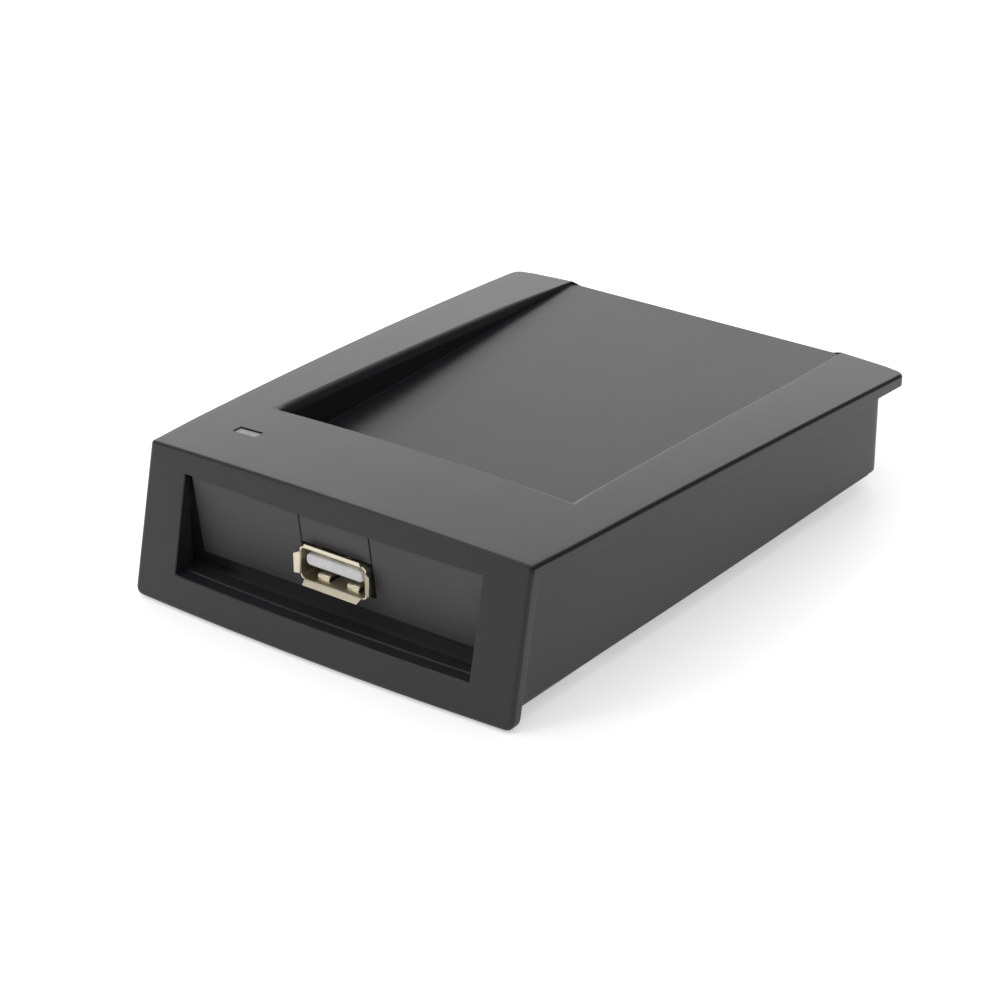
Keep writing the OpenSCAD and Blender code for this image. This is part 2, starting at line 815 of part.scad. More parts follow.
module usb_insulator() color([0.93, 0.93, 0.9]) placed()
  difference() {
    union() {
      translate([-tongue_w / 2, usb_front + tongue_start, tongue_z])
        cube([tongue_w, usb_len - tongue_start - usb_t, tongue_t]);
      shell_tube(usb_t, usb_back - usb_t - block_l, usb_back - usb_t);
    }
    contact_path(fit_gap);
  }

module usb_contacts() color(brass) placed()
  difference() {
    contact_path(0);
    translate([-usb_w, usb_back - usb_t, board_z])
      cube([2 * usb_w, usb_len, usb_h]);
  }

// Holes in the main board for the socket's contacts and the lamp's legs
module board_holes() {
  for (x = contact_spots)
    translate([x, usb_back - usb_t - contact_t / 2, board_z])
      cube([contact_w + 4 * fit_gap, contact_t + 4 * fit_gap, 4 * board_t], center = true);
  for (s = [-1, 1])
    translate([light_x + s * led_pitch / 2, led_y, board_z])
      cube([led_leg_w + 2 * fit_gap, led_leg_w + 2 * fit_gap, 4 * board_t], center = true);
}

module pin_spots() {
  for (i = [-1.5 : 1 : 1.5])
    translate([i * pin_pitch, header_y, 0])
      children();
}

module main_board() color(green) placed()
  difference() {
    translate([-board_w / 2, board_y, board_z])
      cube([board_w, board_l, board_t]);
    for (p = post_spots)
      translate([p[0], p[1], board_z - over])
        cylinder(r = shank_r + screw_gap, h = board_t + 2 * over, $fn = round_fn);
    board_holes();
    pin_spots()
      cylinder(r = pin_w / 2 + screw_gap, h = board_top + over, $fn = round_fn);
  }

module antenna_board() color(green) placed()
  difference() {
    on_tray()
      difference() {
        translate([-antenna_w / 2, antenna_y, antenna_z])
          cube([antenna_w, antenna_l, antenna_t]);
        for (p = stake_spots)
          translate([p[0], p[1], antenna_z - over])
            cylinder(r = stake_r + fit_gap, h = antenna_t + 2 * over, $fn = round_fn);
      }
    pin_spots()
      cylinder(r = pin_w / 2 + screw_gap, h = front_h, $fn = round_fn);
  }

module antenna_coil() color([0.72, 0.42, 0.2]) placed()
  on_tray()
    for (i = [0 : 3])
      translate([0, antenna_y + antenna_l / 2, -tray_floor_t - stake_h + loop_t / 2])
        difference() {
          m = loop_margin + i * loop_step;
          cube([antenna_w - 2 * m, antenna_l - 2 * m, loop_t], center = true);
          cube([antenna_w - 2 * m - 2 * loop_w, antenna_l - 2 * m - 2 * loop_w, over], center = true);
        }

module antenna_header() color(black) placed()
  difference() {
    translate([-header_w / 2, header_y - header_l / 2, board_top])
      cube([header_w, header_l, header_h]);
    pin_spots()
      translate([0, 0, board_top])
        cube([pin_w + 2 * fit_gap, pin_w + 2 * fit_gap, 4 * header_h], center = true);
  }

module antenna_pins() color(brass) placed()
  pin_spots()
    translate([-pin_w / 2, -pin_w / 2, board_z - tail_l])
      cube([pin_w, pin_w, tray_h - tray_floor_t - stake_h - board_z + tail_l + antenna_t]);

module reader_chip() color([0.12, 0.12, 0.13]) placed()
  translate([-reader_w / 2, reader_y - reader_w / 2, board_top])
    cube([reader_w, reader_w, reader_h]);

module controller_chip() color([0.12, 0.12, 0.13]) placed()
  translate([-controller_w / 2, controller_y - controller_w / 2, board_top + leg_t])
    cube([controller_w, controller_w, controller_h]);

module controller_leads() color(silver) placed()
  translate([0, controller_y, board_top])
    for (a = [0 : 90 : 270])
      rotate([0, 0, a])
        for (i = [-5.5 : 1 : 5.5])
          translate([i * leg_pitch - leg_w / 2, -controller_w / 2 - leg_l, 0]) {
            cube([leg_w, leg_l, leg_t]);
            translate([0, leg_l - leg_t, 0])
              cube([leg_w, leg_t, leg_h]);
          }

module can(l, w, h) {
  linear_extrude(height = h) {
    translate([-l / 2 + w / 2, -w / 2])
      square([l - w, w]);
    for (x = [-1, 1])
      translate([x * (l / 2 - w / 2), 0])
        circle(d = w, $fn = round_fn);
  }
}

module crystals() color(silver) placed()
  for (x = [-crystal_x, crystal_x])
    translate([x, crystal_y, board_top]) {
      can(crystal_l, crystal_w, crystal_rim);
      can(crystal_l - 2 * crystal_rim, crystal_w - 2 * crystal_rim, crystal_h);
    }

module buzzer() color([0.1, 0.1, 0.1]) placed()
  translate([buzzer_x, buzzer_y, board_top])
    difference() {
      cylinder(r = buzzer_r, h = buzzer_h, $fn = 2 * round_fn);
      translate([0, 0, buzzer_h - buzzer_hole_d])
        cylinder(r = buzzer_hole_r, h = buzzer_hole_d + over, $fn = round_fn);
    }

module reservoir_capacitor() color([0.1, 0.12, 0.3]) placed()
  translate([cap_x, cap_y, board_top])
    rotate_extrude($fn = 2 * round_fn)
      polygon([
        [0, 0], [cap_r, 0], [cap_r, cap_foot_h], [cap_r - cap_groove, cap_foot_h + cap_groove],
        [cap_r - cap_groove, cap_foot_h + 2 * cap_groove], [cap_r, cap_foot_h + 3 * cap_groove],
        [cap_r, cap_h - cap_groove], [cap_r - cap_groove, cap_h], [0, cap_h]
      ]);

module power_inductor() color([0.2, 0.2, 0.21]) placed()
  translate([coil_x, coil_y, board_top])
    difference() {
      cylinder(r = coil_r, h = coil_h, $fn = round_fn);
      translate([0, 0, coil_disc_t])
        difference() {
          cylinder(r = coil_r + over, h = coil_h - 2 * coil_disc_t, $fn = round_fn);
          cylinder(r = coil_r - coil_groove, h = coil_h - 2 * coil_disc_t, $fn = round_fn);
        }
    }

module chip_row(x, h) {
  for (i = [0 : 7])
    translate([x - chip_l / 2, chip_y + i * chip_pitch, board_top])
      cube([chip_l, chip_w, h]);
}

module chip_capacitors() color([0.6, 0.5, 0.38]) placed()
  chip_row(-chip_x, chip_cap_h);

module chip_resistors() color([0.08, 0.08, 0.08]) placed()
  chip_row(chip_x, chip_res_h);

// Screw with its head's underside at the origin and its shank along -Z
module pan_screw(l) {
  difference() {
    cylinder(r = head_r, h = head_h, $fn = round_fn);
    for (a = [0, 90])
      rotate([0, 0, a])
        translate([-cross_l / 2, -cross_w / 2, head_h - cross_d])
          cube([cross_l, cross_w, head_h]);
  }
  translate([0, 0, -l])
    cylinder(r = shank_r, h = l, $fn = round_fn);
}

module board_screws() color(silver) placed()
  for (p = post_spots)
    translate([p[0], p[1], board_top])
      pan_screw(board_shank_l);

module cover_screws() color(silver) placed()
  for (p = cover_spots)
    translate([p[0], p[1], foot_h + head_h])
      rotate([180, 0, 0])
        pan_screw(shank_l);

module rubber_feet() color([0.13, 0.13, 0.13]) placed()
  for (p = foot_spots)
    translate([p[0], p[1], 0])
      cylinder(r = foot_r, h = foot_h + foot_seat, $fn = 2 * round_fn);

top_housing();
bottom_cover();
light_lens();
status_led();
led_leads();
led_spacer();
usb_shell();
usb_insulator();
usb_contacts();
main_board();
antenna_board();
antenna_coil();
antenna_header();
antenna_pins();
reader_chip();
controller_chip();
controller_leads();
crystals();
buzzer();
reservoir_capacitor();
power_inductor();
chip_capacitors();
chip_resistors();
board_screws();
cover_screws();
rubber_feet();
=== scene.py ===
import json
import math

import bmesh
import bpy
from mathutils import Matrix, Vector


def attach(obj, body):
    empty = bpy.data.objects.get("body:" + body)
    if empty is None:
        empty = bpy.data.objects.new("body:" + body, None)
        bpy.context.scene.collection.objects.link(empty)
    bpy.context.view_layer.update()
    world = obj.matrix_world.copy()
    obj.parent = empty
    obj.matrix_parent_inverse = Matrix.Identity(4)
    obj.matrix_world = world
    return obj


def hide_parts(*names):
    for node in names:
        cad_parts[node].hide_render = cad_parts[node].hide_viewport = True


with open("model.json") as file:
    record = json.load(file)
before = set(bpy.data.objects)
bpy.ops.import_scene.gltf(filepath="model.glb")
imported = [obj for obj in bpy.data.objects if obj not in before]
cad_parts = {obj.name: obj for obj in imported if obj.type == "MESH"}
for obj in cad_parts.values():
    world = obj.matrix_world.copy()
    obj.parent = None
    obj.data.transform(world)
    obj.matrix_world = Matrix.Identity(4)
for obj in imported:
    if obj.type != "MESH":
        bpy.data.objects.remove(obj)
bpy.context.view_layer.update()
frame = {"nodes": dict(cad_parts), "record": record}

bl_info = {
    "name": "Card Reader Builder",
    "version": (1, 0, 0),
    "blender": (4, 5, 0),
    "location": "3D View > Sidebar > Card Reader",
    "description": "Builds the detailed look of a desktop contactless card reader",
    "category": "Object",
}

UNIT = 0.001


# Properties


def length(name, text, value):
    """A length in millimetres, shown in the panel."""
    return bpy.props.FloatProperty(name=name, description=text, default=value, precision=3)


def level(name, text, value):
    """A strength or a power, shown in the panel."""
    return bpy.props.FloatProperty(name=name, description=text, default=value)


def colour(name, text, value):
    """A linear colour, shown in the panel."""
    return bpy.props.FloatVectorProperty(
        name=name, description=text, default=value, size=3, subtype="COLOR", min=0.0, max=1.0
    )


class CaseSizes(bpy.types.PropertyGroup):
    front_width: length("Front width", "Width of the cover at the socket end", 74.8)
    rear_width: length("Rear width", "Width of the cover at the card end", 82.5)
    case_length: length("Length", "Plan distance from the top front edge to the card end", 105.4)
    front_height: length("Front height", "Height of the top front edge at its corners", 25.25)
    top_fall: bpy.props.FloatProperty(
        name="Top fall", description="Fall of the top towards the card end", default=math.radians(3.36),
        subtype="ANGLE"
    )
    crown_across: length("Crown across", "Rise of the top across its width", 1.15)
    crown_along: length("Crown along", "Rise of the top along its length", 0.65)
    side_bow: length("Side bow", "Outward bow of the sides in plan", 0.45)
    plate: length("Top plate", "Thickness of the top plate", 2.2)
    wall: length("Wall", "Thickness of the side and rear walls", 2.0)
    wall_inset: length("Wall inset", "Step from the top's edge in to the walls", 1.0)
    overhang: length("Overhang", "Overhang of the top past the rear wall", 5.8)
    wall_low: length("Wall lower edge", "Height of the walls' lower edge", 2.8)
    edge: length("Edge round", "Radius of the outer edges", 0.7)
    front_edge: length("Front edge round", "Radius of the top's front edge", 0.5)
    lip: length("Tray lip", "Radius of the tray's upper edges", 1.6)
    cove: length("Cove", "Radius of the hollow under the top's edge", 0.8)
    plan_corner: length("Plan corner", "Radius of the top's corners at the card end", 2.0)
    wall_corner: length("Wall corner", "Radius of the rear wall's corners", 2.4)


class FrameSizes(bpy.types.PropertyGroup):
    thickness: length("Thickness", "Thickness of the front frame", 2.2)
    slope: bpy.props.FloatProperty(
        name="Slope", description="Outward slope of the front frame", default=math.radians(12.9),
        subtype="ANGLE"
    )
    bulge: length("Bulge", "Bulge of the front frame in plan", 1.06)
    low: length("Lower edge", "Height of the frame's lower edge", 0.3)
    draft: length("Draft", "Narrowing of the frame from its lower to its upper edge, each side", 0.2)
    corner: length("Lower corner", "Radius of the frame's lower corners", 1.4)
    window_width: length("Window width", "Width of the window", 58.1)
    window_low: length("Window low", "Height of the window's lower edge", 5.85)
    window_top: length("Window top", "Height of the window's upper edge", 22.15)
    rim: length("Rim", "Thickness of the window's inward rim", 1.2)
    rim_end: length("Rim end", "Plan position of the rim's inner end", -0.45)
    rim_step: length("Rim step", "Height that the rim stands in past the window's edge", 0.25)


class TraySizes(bpy.types.PropertyGroup):
    width: length("Width", "Width of the tray", 56.6)
    start: length("Start", "Plan position of the tray's closed end", 22.3)
    height: length("Height", "Height of the tray's surface at its closed end", 18.05)
    rise: bpy.props.FloatProperty(
        name="Rise", description="Rise of the tray towards its open end", default=math.radians(0.76),
        subtype="ANGLE"
    )
    floor: length("Floor", "Thickness of the tray's floor", 1.8)
    side: length("Side", "Thickness of the tray's sides", 1.6)
    light_margin: length("Light margin", "Distance from the side edge to the light window", 10.9)
    light_place: length("Light place", "Position of the light window along the top", 11.4)
    light_width: length("Light width", "Width of the light window", 4.7)
    light_length: length("Light length", "Length of the light window", 2.0)
    lens_depth: length("Lens depth", "Depth of the lens below the top", 0.2)


class BaseSizes(bpy.types.PropertyGroup):
    low: length("Base height", "Height of the base plate above the table", 2.0)
    top: length("Base top", "Height of the base plate's inner surface", 4.0)
    inset: length("Inset", "Step from the top's edge in to the base plate", 1.5)
    play: length("Play", "Play between the base plate's plug and the walls", 0.2)
    frame_play: length("Frame play", "Play between the base plate and the front frame", 0.3)
    panel_place: length("Panel place", "Plan position of the panel's lower edge", 1.7)
    panel_low: length("Panel low", "Height of the panel's lower edge", 7.4)
    panel_lean: bpy.props.FloatProperty(
        name="Panel lean", description="Backward lean of the panel", default=math.radians(7.7),
        subtype="ANGLE"
    )
    panel_width: length("Panel width", "Width of the panel", 57.2)
    panel_thick: length("Panel thickness", "Height that the panel stands out", 1.9)
    wall_thick: length("End wall", "Thickness of the end wall", 1.6)
    wall_top: length("End wall top", "Height of the end wall's upper edge", 21.95)
    notch_width: length("Notch width", "Width of the notch for the socket", 13.9)
    notch_low: length("Notch low", "Height of the notch's lower edge", 10.12)
    tab_width: length("Tab width", "Width of the tab over the socket", 13.5)
    tab_thick: length("Tab thickness", "Thickness of the tab over the socket", 2.0)
    tab_low: length("Tab low", "Height of the tab's lower edge", 16.37)
    board_low: length("Board height", "Height of the board's underside", 8.82)
    foot_radius: length("Foot radius", "Radius of a foot", 4.5)
    foot_height: length("Foot height", "Height of a foot with its seat", 2.4)


class SocketSizes(bpy.types.PropertyGroup):
    width: length("Width", "Width of the socket's shell", 13.1)
    height: length("Height", "Height of the socket's shell", 5.7)
    centre: length("Centre", "Height of the socket's centre line", 13.27)
    front: length("Front", "Plan position of the shell's mouth", -0.5)
    depth: length("Depth", "Length of the shell's body", 13.4)
    metal: length("Metal", "Thickness of the shell's metal", 0.3)
    corner: length("Corner", "Corner radius of the shell", 0.8)
    lip: length("Lip", "Length of a flared lip", 1.25)
    lip_corner: length("Lip corner", "Distance from the shell's corners to its lips", 0.85)
    lip_flare: bpy.props.FloatProperty(
        name="Lip flare", description="Flare of the lips", default=math.radians(52), subtype="ANGLE"
    )
    finger_pitch: length("Finger pitch", "Spacing of the spring fingers", 5.8)
    finger_width: length("Finger width", "Width of a spring finger", 2.4)
    finger_length: length("Finger length", "Length of a spring finger", 5.2)
    finger_start: length("Finger start", "Distance from the mouth to a finger's tip", 1.2)
    tongue_width: length("Tongue width", "Width of the tongue", 11.1)
    tongue_thick: length("Tongue thickness", "Thickness of the tongue", 1.95)
    tongue_gap: length("Tongue gap", "Gap over the tongue", 0.9)
    tongue_start: length("Tongue start", "Distance from the mouth to the tongue's tip", 0.3)


class Finishes(bpy.types.PropertyGroup):
    case: colour("Case", "Moulded case", (0.0165, 0.0167, 0.0183))
    # Lower cover and socket tab colour: textured black, lighter than the case. Part of that lift is painted
    # light that makes up for the shade in the recess behind the front frame.
    panel: colour("Panel", "Lower cover and its panel", (0.07, 0.0706, 0.072))
    metal: colour("Socket metal", "Plated socket shell", (0.74, 0.68, 0.53))
    white: colour("White plastic", "Tongue and spacer", (0.82, 0.83, 0.85))
    lens: colour("Lens", "Light window", (0.27, 0.277, 0.29))
    board: colour("Board", "Solder mask", (0.012, 0.12, 0.05))
    rubber: colour("Rubber", "Feet", (0.02, 0.02, 0.021))
    grain: level("Grain", "Strength of the case's fine texture", 0.2)
    roughness: level("Roughness", "Roughness of the case", 0.34)


class StageSettings(bpy.types.PropertyGroup):
    sky: level("Sky", "Level of the light from all round", 0.5)
    sky_left: level("Left sky", "Level of the sky on the left, as glossy surfaces show it", 0.3)
    sky_right: level("Right sky", "Level of the sky on the right, as glossy surfaces show it", 0.06)
    top_power: level("Top lamp", "Power of the lamp overhead", 2.6)
    back_power: level("Back lamp", "Power of the lamp behind", 3.1)
    front_power: level("Front lamp", "Power of the lamp in front", 1.8)
    floor: colour("Floor", "Table surface", (0.93, 0.93, 0.93))
    floor_glow: level("Table white", "White that the table adds where it is seen or reflected", 0.45)


GROUPS = {
    "reader_case": CaseSizes, "reader_frame": FrameSizes, "reader_tray": TraySizes, "reader_base": BaseSizes,
    "reader_socket": SocketSizes, "reader_finish": Finishes, "reader_stage": StageSettings,
}


# Shape of the case


# Where the front's bulge fades out, where the sides begin to bow, and how far the frame's draft reaches
BULGE_END, BULGE_FADE = 14, 10
SIDE_START, SIDE_FADE = 31, 3
DRAFT_HEIGHT, DRAFT_END = 20, 12
LIP_REACH = 1.3


def clamp(v):
    return min(max(v, 0), 1)


def smooth(v):
    v = clamp(v)
    return v * v * (3 - 2 * v)


class Shape:
    """The case's main surfaces, in millimetres from the top front edge."""

    def __init__(self, scene):
        self.c, self.f, self.t = scene.reader_case, scene.reader_frame, scene.reader_tray
        self.b, self.s = scene.reader_base, scene.reader_socket
        c, f, t = self.c, self.f, self.t
        self.fall, self.lean, self.rise = math.tan(c.top_fall), math.tan(f.slope), math.tan(t.rise)
        self.half_tray = t.width / 2
        self.mean_half = (c.front_width + c.rear_width) / 4
        self.flare = (c.rear_width - c.front_width) / 2 / c.case_length
        self.lift = self.across(self.half_tray)
        self.back = f.thickness / math.cos(f.slope)
        self.wall_rear = c.case_length - c.overhang
        nose = -f.bulge - (c.front_height - f.low) * self.lean
        self.shift = -(nose + c.case_length) / 2

        along = t.light_place * math.cos(c.top_fall)
        self.light = (t.light_margin - c.front_width / 2, along)

    def half(self, y):
        return self.c.front_width / 2 + self.flare * y

    def across(self, x):
        return self.c.crown_across * (1 - (x / self.mean_half) ** 2)

    def along(self, y):
        return self.c.crown_along * (1 - (2 * y / self.c.case_length - 1) ** 2)

    def bulge(self, x):
        return self.f.bulge * (1 - (2 * x / self.c.front_width) ** 2)

    def top(self, y):
        return self.c.front_height + self.lift - y * self.fall

    def under(self, y):
        return self.c.front_height - self.c.plate - y * self.fall

    def face(self, z):
        return (z - self.c.front_height) * self.lean

    def floor(self, y):
        return self.t.height + (y - self.t.start) * self.rise

    def panel(self, z):
        return self.b.panel_place - (z - self.b.panel_low) * math.tan(self.b.panel_lean)

    def lip(self, y):
        """Radius of the tray's upper edge, smaller where the tray runs out."""
        return min(self.c.lip, 0.8 * (self.top(y) - self.floor(y)))

    def near_front(self, y):
        """1 at the front, falling to 0 where the bulge has faded out."""
        return smooth((BULGE_END - y) / BULGE_FADE)

    def slopes(self, x, y):
        """Rise of the finished top across and along, per millimetre."""
        c = self.c
        along = -4 * c.crown_along * (2 * y / c.case_length - 1) / c.case_length
        return -2 * c.crown_across * x / self.mean_half ** 2, along - self.fall

    def warp(self, p):
        """Moves a point of the straight case on to the crowned and bulged one."""
        x, y, z = p
        side, c = abs(x), self.c
        low, high = self.under(y), self.top(y)
        if side < self.half_tray + LIP_REACH * c.lip and y > self.t.start - LIP_REACH * c.lip:
            low = self.floor(y)
        share = clamp((z - low) / max(high - low, 0.1))
        outer = clamp((side - SIDE_START) / SIDE_FADE)
        u = clamp(y / c.case_length)
        spread = c.side_bow * 4 * u * (1 - u) - self.flare * min(y, 0)
        taper = self.f.draft * clamp((z - self.f.low) / DRAFT_HEIGHT)
        spread -= taper * smooth((DRAFT_END - y) / DRAFT_END)
        rise = (self.across(x) + self.along(y) - self.lift) * share
        bulge = self.bulge(x) * self.near_front(y)
        return Vector((x + math.copysign(outer, x) * spread, y - bulge, z + rise))


# Mesh tools


def new_mesh(name, bm):
    mesh = bpy.data.meshes.new(name)
    bm.to_mesh(mesh)
    bm.free()
    return mesh


def as_object(name, mesh):
    obj = bpy.data.objects.new(name, mesh)
    bpy.context.scene.collection.objects.link(obj)
    return obj


def drop(obj):
    mesh = obj.data
    bpy.data.objects.remove(obj)
    if mesh.users == 0:
        bpy.data.meshes.remove(mesh)


def hexa(points):
    """Solid between a first and a second ring, which have as many points each."""
    bm = bmesh.new()
    v = [bm.verts.new(p) for p in points]
    n = len(points) // 2
    bm.faces.new(v[:n][::-1])
    bm.faces.new(v[n:])
    for i in range(n):
        j = (i + 1) % n
        bm.faces.new((v[i], v[j], v[n + j], v[n + i]))
    return bm


def box(x0, x1, y0, y1, z0, z1):
    ring = [(x0, y0), (x1, y0), (x1, y1), (x0, y1)]
    return hexa([(x, y, z) for z in (z0, z1) for x, y in ring])


def slab(half, front, rear, low, high):
    """Solid across the case: half width, front, rear, low and high are numbers or functions."""
    def fn(v):
        return v if callable(v) else (lambda *_: v)
    half, front, rear, low, high = map(fn, (half, front, rear, low, high))
    points = []
    for level in (low, high):
        ring = []
        for end in (front, rear):
            y = end(level(0))
            for _ in range(6):
                y = end(level(y))
            ring.append((half(y), y, level(y)))
        (a, ya, za), (b, yb, zb) = ring
        points += [(-a, ya, za), (a, ya, za), (b, yb, zb), (-b, yb, zb)]
    return hexa(points)


def prism(outline, z0, z1):
    return hexa([(x, y, z) for z in (z0, z1) for x, y in outline])


def circle(radius, count):
    angles = [i * math.tau / count for i in range(count)]
    return [(radius * math.cos(a), radius * math.sin(a)) for a in angles]


def rod(x, y, radius, z0, z1, count=40):
    return prism([(x + dx, y + dy) for dx, dy in circle(radius, count)], z0, z1)


def lathe(profile, count=64):
    """Solid of revolution about Z from (radius, height) pairs that start and end on the axis."""
    bm = bmesh.new()
    rings = []
    for r, z in profile:
        ring = [(0, 0)] if r == 0 else circle(r, count)
        rings.append([bm.verts.new((x, y, z)) for x, y in ring])
    for a, b in zip(rings, rings[1:]):
        for i in range(count):
            j = (i + 1) % count
            quad = [a[i % len(a)], a[j % len(a)], b[j % len(b)], b[i % len(b)]]
            bm.faces.new(list(dict.fromkeys(quad)))
    bmesh.ops.recalc_face_normals(bm, faces=bm.faces)
    return bm


def combine(bm, others, mode):
    """Adds the others to the solid, or cuts them from it, one by one."""
    base = as_object("work", new_mesh("work", bm))
    for other in others:
        tool = as_object("tool", new_mesh("tool", other))
        mod = base.modifiers.new("b", "BOOLEAN")
        mod.operation, mod.object, mod.solver = mode, tool, "EXACT"
        mesh = bpy.data.meshes.new_from_object(base.evaluated_get(bpy.context.evaluated_depsgraph_get()))
        base.modifiers.clear()
        old, base.data = base.data, mesh
        bpy.data.meshes.remove(old)
        drop(tool)
    out = bmesh.new()
    out.from_mesh(base.data)
    drop(base)
    bmesh.ops.remove_doubles(out, verts=out.verts, dist=1e-4)
    bmesh.ops.dissolve_limit(out, angle_limit=math.radians(0.4), verts=out.verts, edges=out.edges)
    return out


def rounded(bm, radius_of, segments=4):
    """Rounds the edges for which radius_of(middle, direction, edge) gives a radius."""
    largest = 2.4
    bm.normal_update()
    layer = bm.edges.layers.float.get("bevel_weight_edge") or bm.edges.layers.float.new("bevel_weight_edge")
    for e in bm.edges:
        a, b = (v.co for v in e.verts)
        sharp = e.is_manifold and e.calc_face_angle(0) > math.radians(20)
        e[layer] = min(radius_of((a + b) / 2, (b - a).normalized(), e) / largest, 1) if sharp else 0
    base = as_object("work", new_mesh("work", bm))
    mod = base.modifiers.new("r", "BEVEL")
    mod.limit_method, mod.width, mod.segments, mod.use_clamp_overlap = "WEIGHT", largest, segments, False
    mod.miter_outer = "MITER_SHARP"
    mesh = bpy.data.meshes.new_from_object(base.evaluated_get(bpy.context.evaluated_depsgraph_get()))
    drop(base)
    out = bmesh.new()
    out.from_mesh(mesh)
    bpy.data.meshes.remove(mesh)
    return out


def sliced(bm, xs=(), ys=()):
    """Cuts the faces along planes across X and Y, so that they can bend."""
    for axis, values in (((1, 0, 0), xs), ((0, 1, 0), ys)):
        for v in values:
            bmesh.ops.bisect_plane(
                bm, geom=bm.verts[:] + bm.edges[:] + bm.faces[:], dist=1e-5,
                plane_co=Vector(axis) * v, plane_no=axis
            )
    return bm


def merged(bm, *others):
    for other in others:
        mesh = new_mesh("part", other)
        bm.from_mesh(mesh)
        bpy.data.meshes.remove(mesh)
    return bm


def placed(name, bm, shape, material, warp=None, body="root"):
    """Turns millimetres at the front edge into the finished piece in the shared frame."""
    for v in bm.verts:
        p = warp(v.co) if warp else v.co.copy()
        v.co = Vector((p.x, p.y + shape.shift, p.z)) * UNIT
    bm.normal_update()
    for f in bm.faces:
        f.smooth = True
    for e in bm.edges:
        e.smooth = not (e.is_manifold and e.calc_face_angle(0) > math.radians(38))
    obj = as_object(name, new_mesh(name, bm))
    obj.data.materials.append(material)
    mod = obj.modifiers.new("Normals", "WEIGHTED_NORMAL")
    mod.keep_sharp, mod.weight = True, 60
    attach(obj, body)
    return obj


def moved(bm, by):
    bm.transform(Matrix.Translation(by))
    return bm


def spots(name):
    """Plan centres of a node's separate solids, from left to right, in millimetres from the front edge."""
    bm = bmesh.new()
    bm.from_mesh(frame["nodes"][name].data)
    bmesh.ops.remove_doubles(bm, verts=bm.verts, dist=1e-6)
    left, found = set(bm.verts), []
    shift = Shape(bpy.context.scene).shift
    while left:
        group, queue = [], [left.pop()]
        while queue:
            v = queue.pop()
            group.append(v.co)
            near = {e.other_vert(v) for e in v.link_edges} & left
            left -= near
            queue += near
        spans = [(min(v[i] for v in group), max(v[i] for v in group)) for i in (0, 1)]
        found.append(tuple((low + high) / 2 / UNIT for low, high in spans))
    bm.free()
    return [(x, y - shift) for x, y in sorted(found)]


def steps(a, b, n):
    return [a + (b - a) * i / n for i in range(n + 1)]


# Materials


class Nodes:
    """Short way to write a material's node tree."""

    def __init__(self, name):
        self.material = bpy.data.materials.get(name) or bpy.data.materials.new(name)
        self.material.use_nodes = True
        self.tree = self.material.node_tree
        self.tree.nodes.clear()
        self.out = self.add("ShaderNodeOutputMaterial")
        self.shader = self.add("ShaderNodeBsdfPrincipled")
        self.link(self.shader, "BSDF", self.out, "Surface")
        self.coords = self.add("ShaderNodeTexCoord")

    def add(self, kind, **values):
        node = self.tree.nodes.new(kind)
        for key, value in values.items():
            if hasattr(node, key):
                setattr(node, key, value)
            else:
                node.inputs[key.replace("_", " ")].default_value = value
        return node

    def link(self, a, out, b, into):
        self.tree.links.new(a.outputs[out], b.inputs[into])

    def set(self, **values):
        for key, value in values.items():
            self.shader.inputs[key.replace("_", " ")].default_value = value

    def noise(self, scale, detail=3.0, roughness=0.55, stretch=None):
        node = self.add("ShaderNodeTexNoise", Scale=scale, Detail=detail, Roughness=roughness)
        if stretch:
            mapping = self.add("ShaderNodeMapping")
            mapping.inputs["Scale"].default_value = stretch
            self.link(self.coords, "Object", mapping, "Vector")
            self.link(mapping, "Vector", node, "Vector")
        else:
            self.link(self.coords, "Object", node, "Vector")
        return node

    def ramp(self, source, low, high):
        """Maps a texture's middle range to low..high."""
        node = self.add("ShaderNodeMapRange")
        for key, value in (("From Min", 0.3), ("From Max", 0.7), ("To Min", low), ("To Max", high)):
            node.inputs[key].default_value = value
        self.link(source, "Fac", node, "Value")
        return node

    def tint(self, source, dark, light):
        mix = self.add("ShaderNodeMix", data_type="RGBA")
        mix.inputs["A"].default_value = (*dark, 1)
        mix.inputs["B"].default_value = (*light, 1)
        self.link(source, "Result", mix, "Factor")
        self.link(mix, "Result", self.shader, "Base Color")

    def bumps(self, *layers):
        """Chains bumps, each a (texture, strength, distance in metres)."""
        last = None
        for source, strength, distance in layers:
            bump = self.add("ShaderNodeBump", Strength=strength, Distance=distance)
            self.link(source, "Fac" if "Fac" in source.outputs else "Distance", bump, "Height")
            if last:
                self.link(last, "Normal", bump, "Normal")
            last = bump
        self.link(last, "Normal", self.shader, "Normal")


def scaled(rgb, k):
    return tuple(min(v * k, 1) for v in rgb)


def moulded(name, rgb, roughness, grain, ior):
    """Fine-grained moulded plastic with faint handling marks."""
    n = Nodes(name)
    fine, broad = n.noise(5200, 2, 0.6), n.noise(38, 4, 0.5)
    pits = n.add("ShaderNodeTexVoronoi", Scale=3100)
    n.link(n.coords, "Object", pits, "Vector")
    wipe = n.noise(90, 3, 0.5, (1, 0.25, 1))
    n.tint(n.ramp(broad, 0, 1), scaled(rgb, 0.93), scaled(rgb, 1.07))
    n.link(n.ramp(wipe, roughness - 0.012, roughness + 0.012), "Result", n.shader, "Roughness")
    n.set(IOR=ior)
    n.bumps((fine, grain, 0.00003), (pits, grain * 0.6, 0.00003), (broad, 0.05, 0.00008))
    return n.material


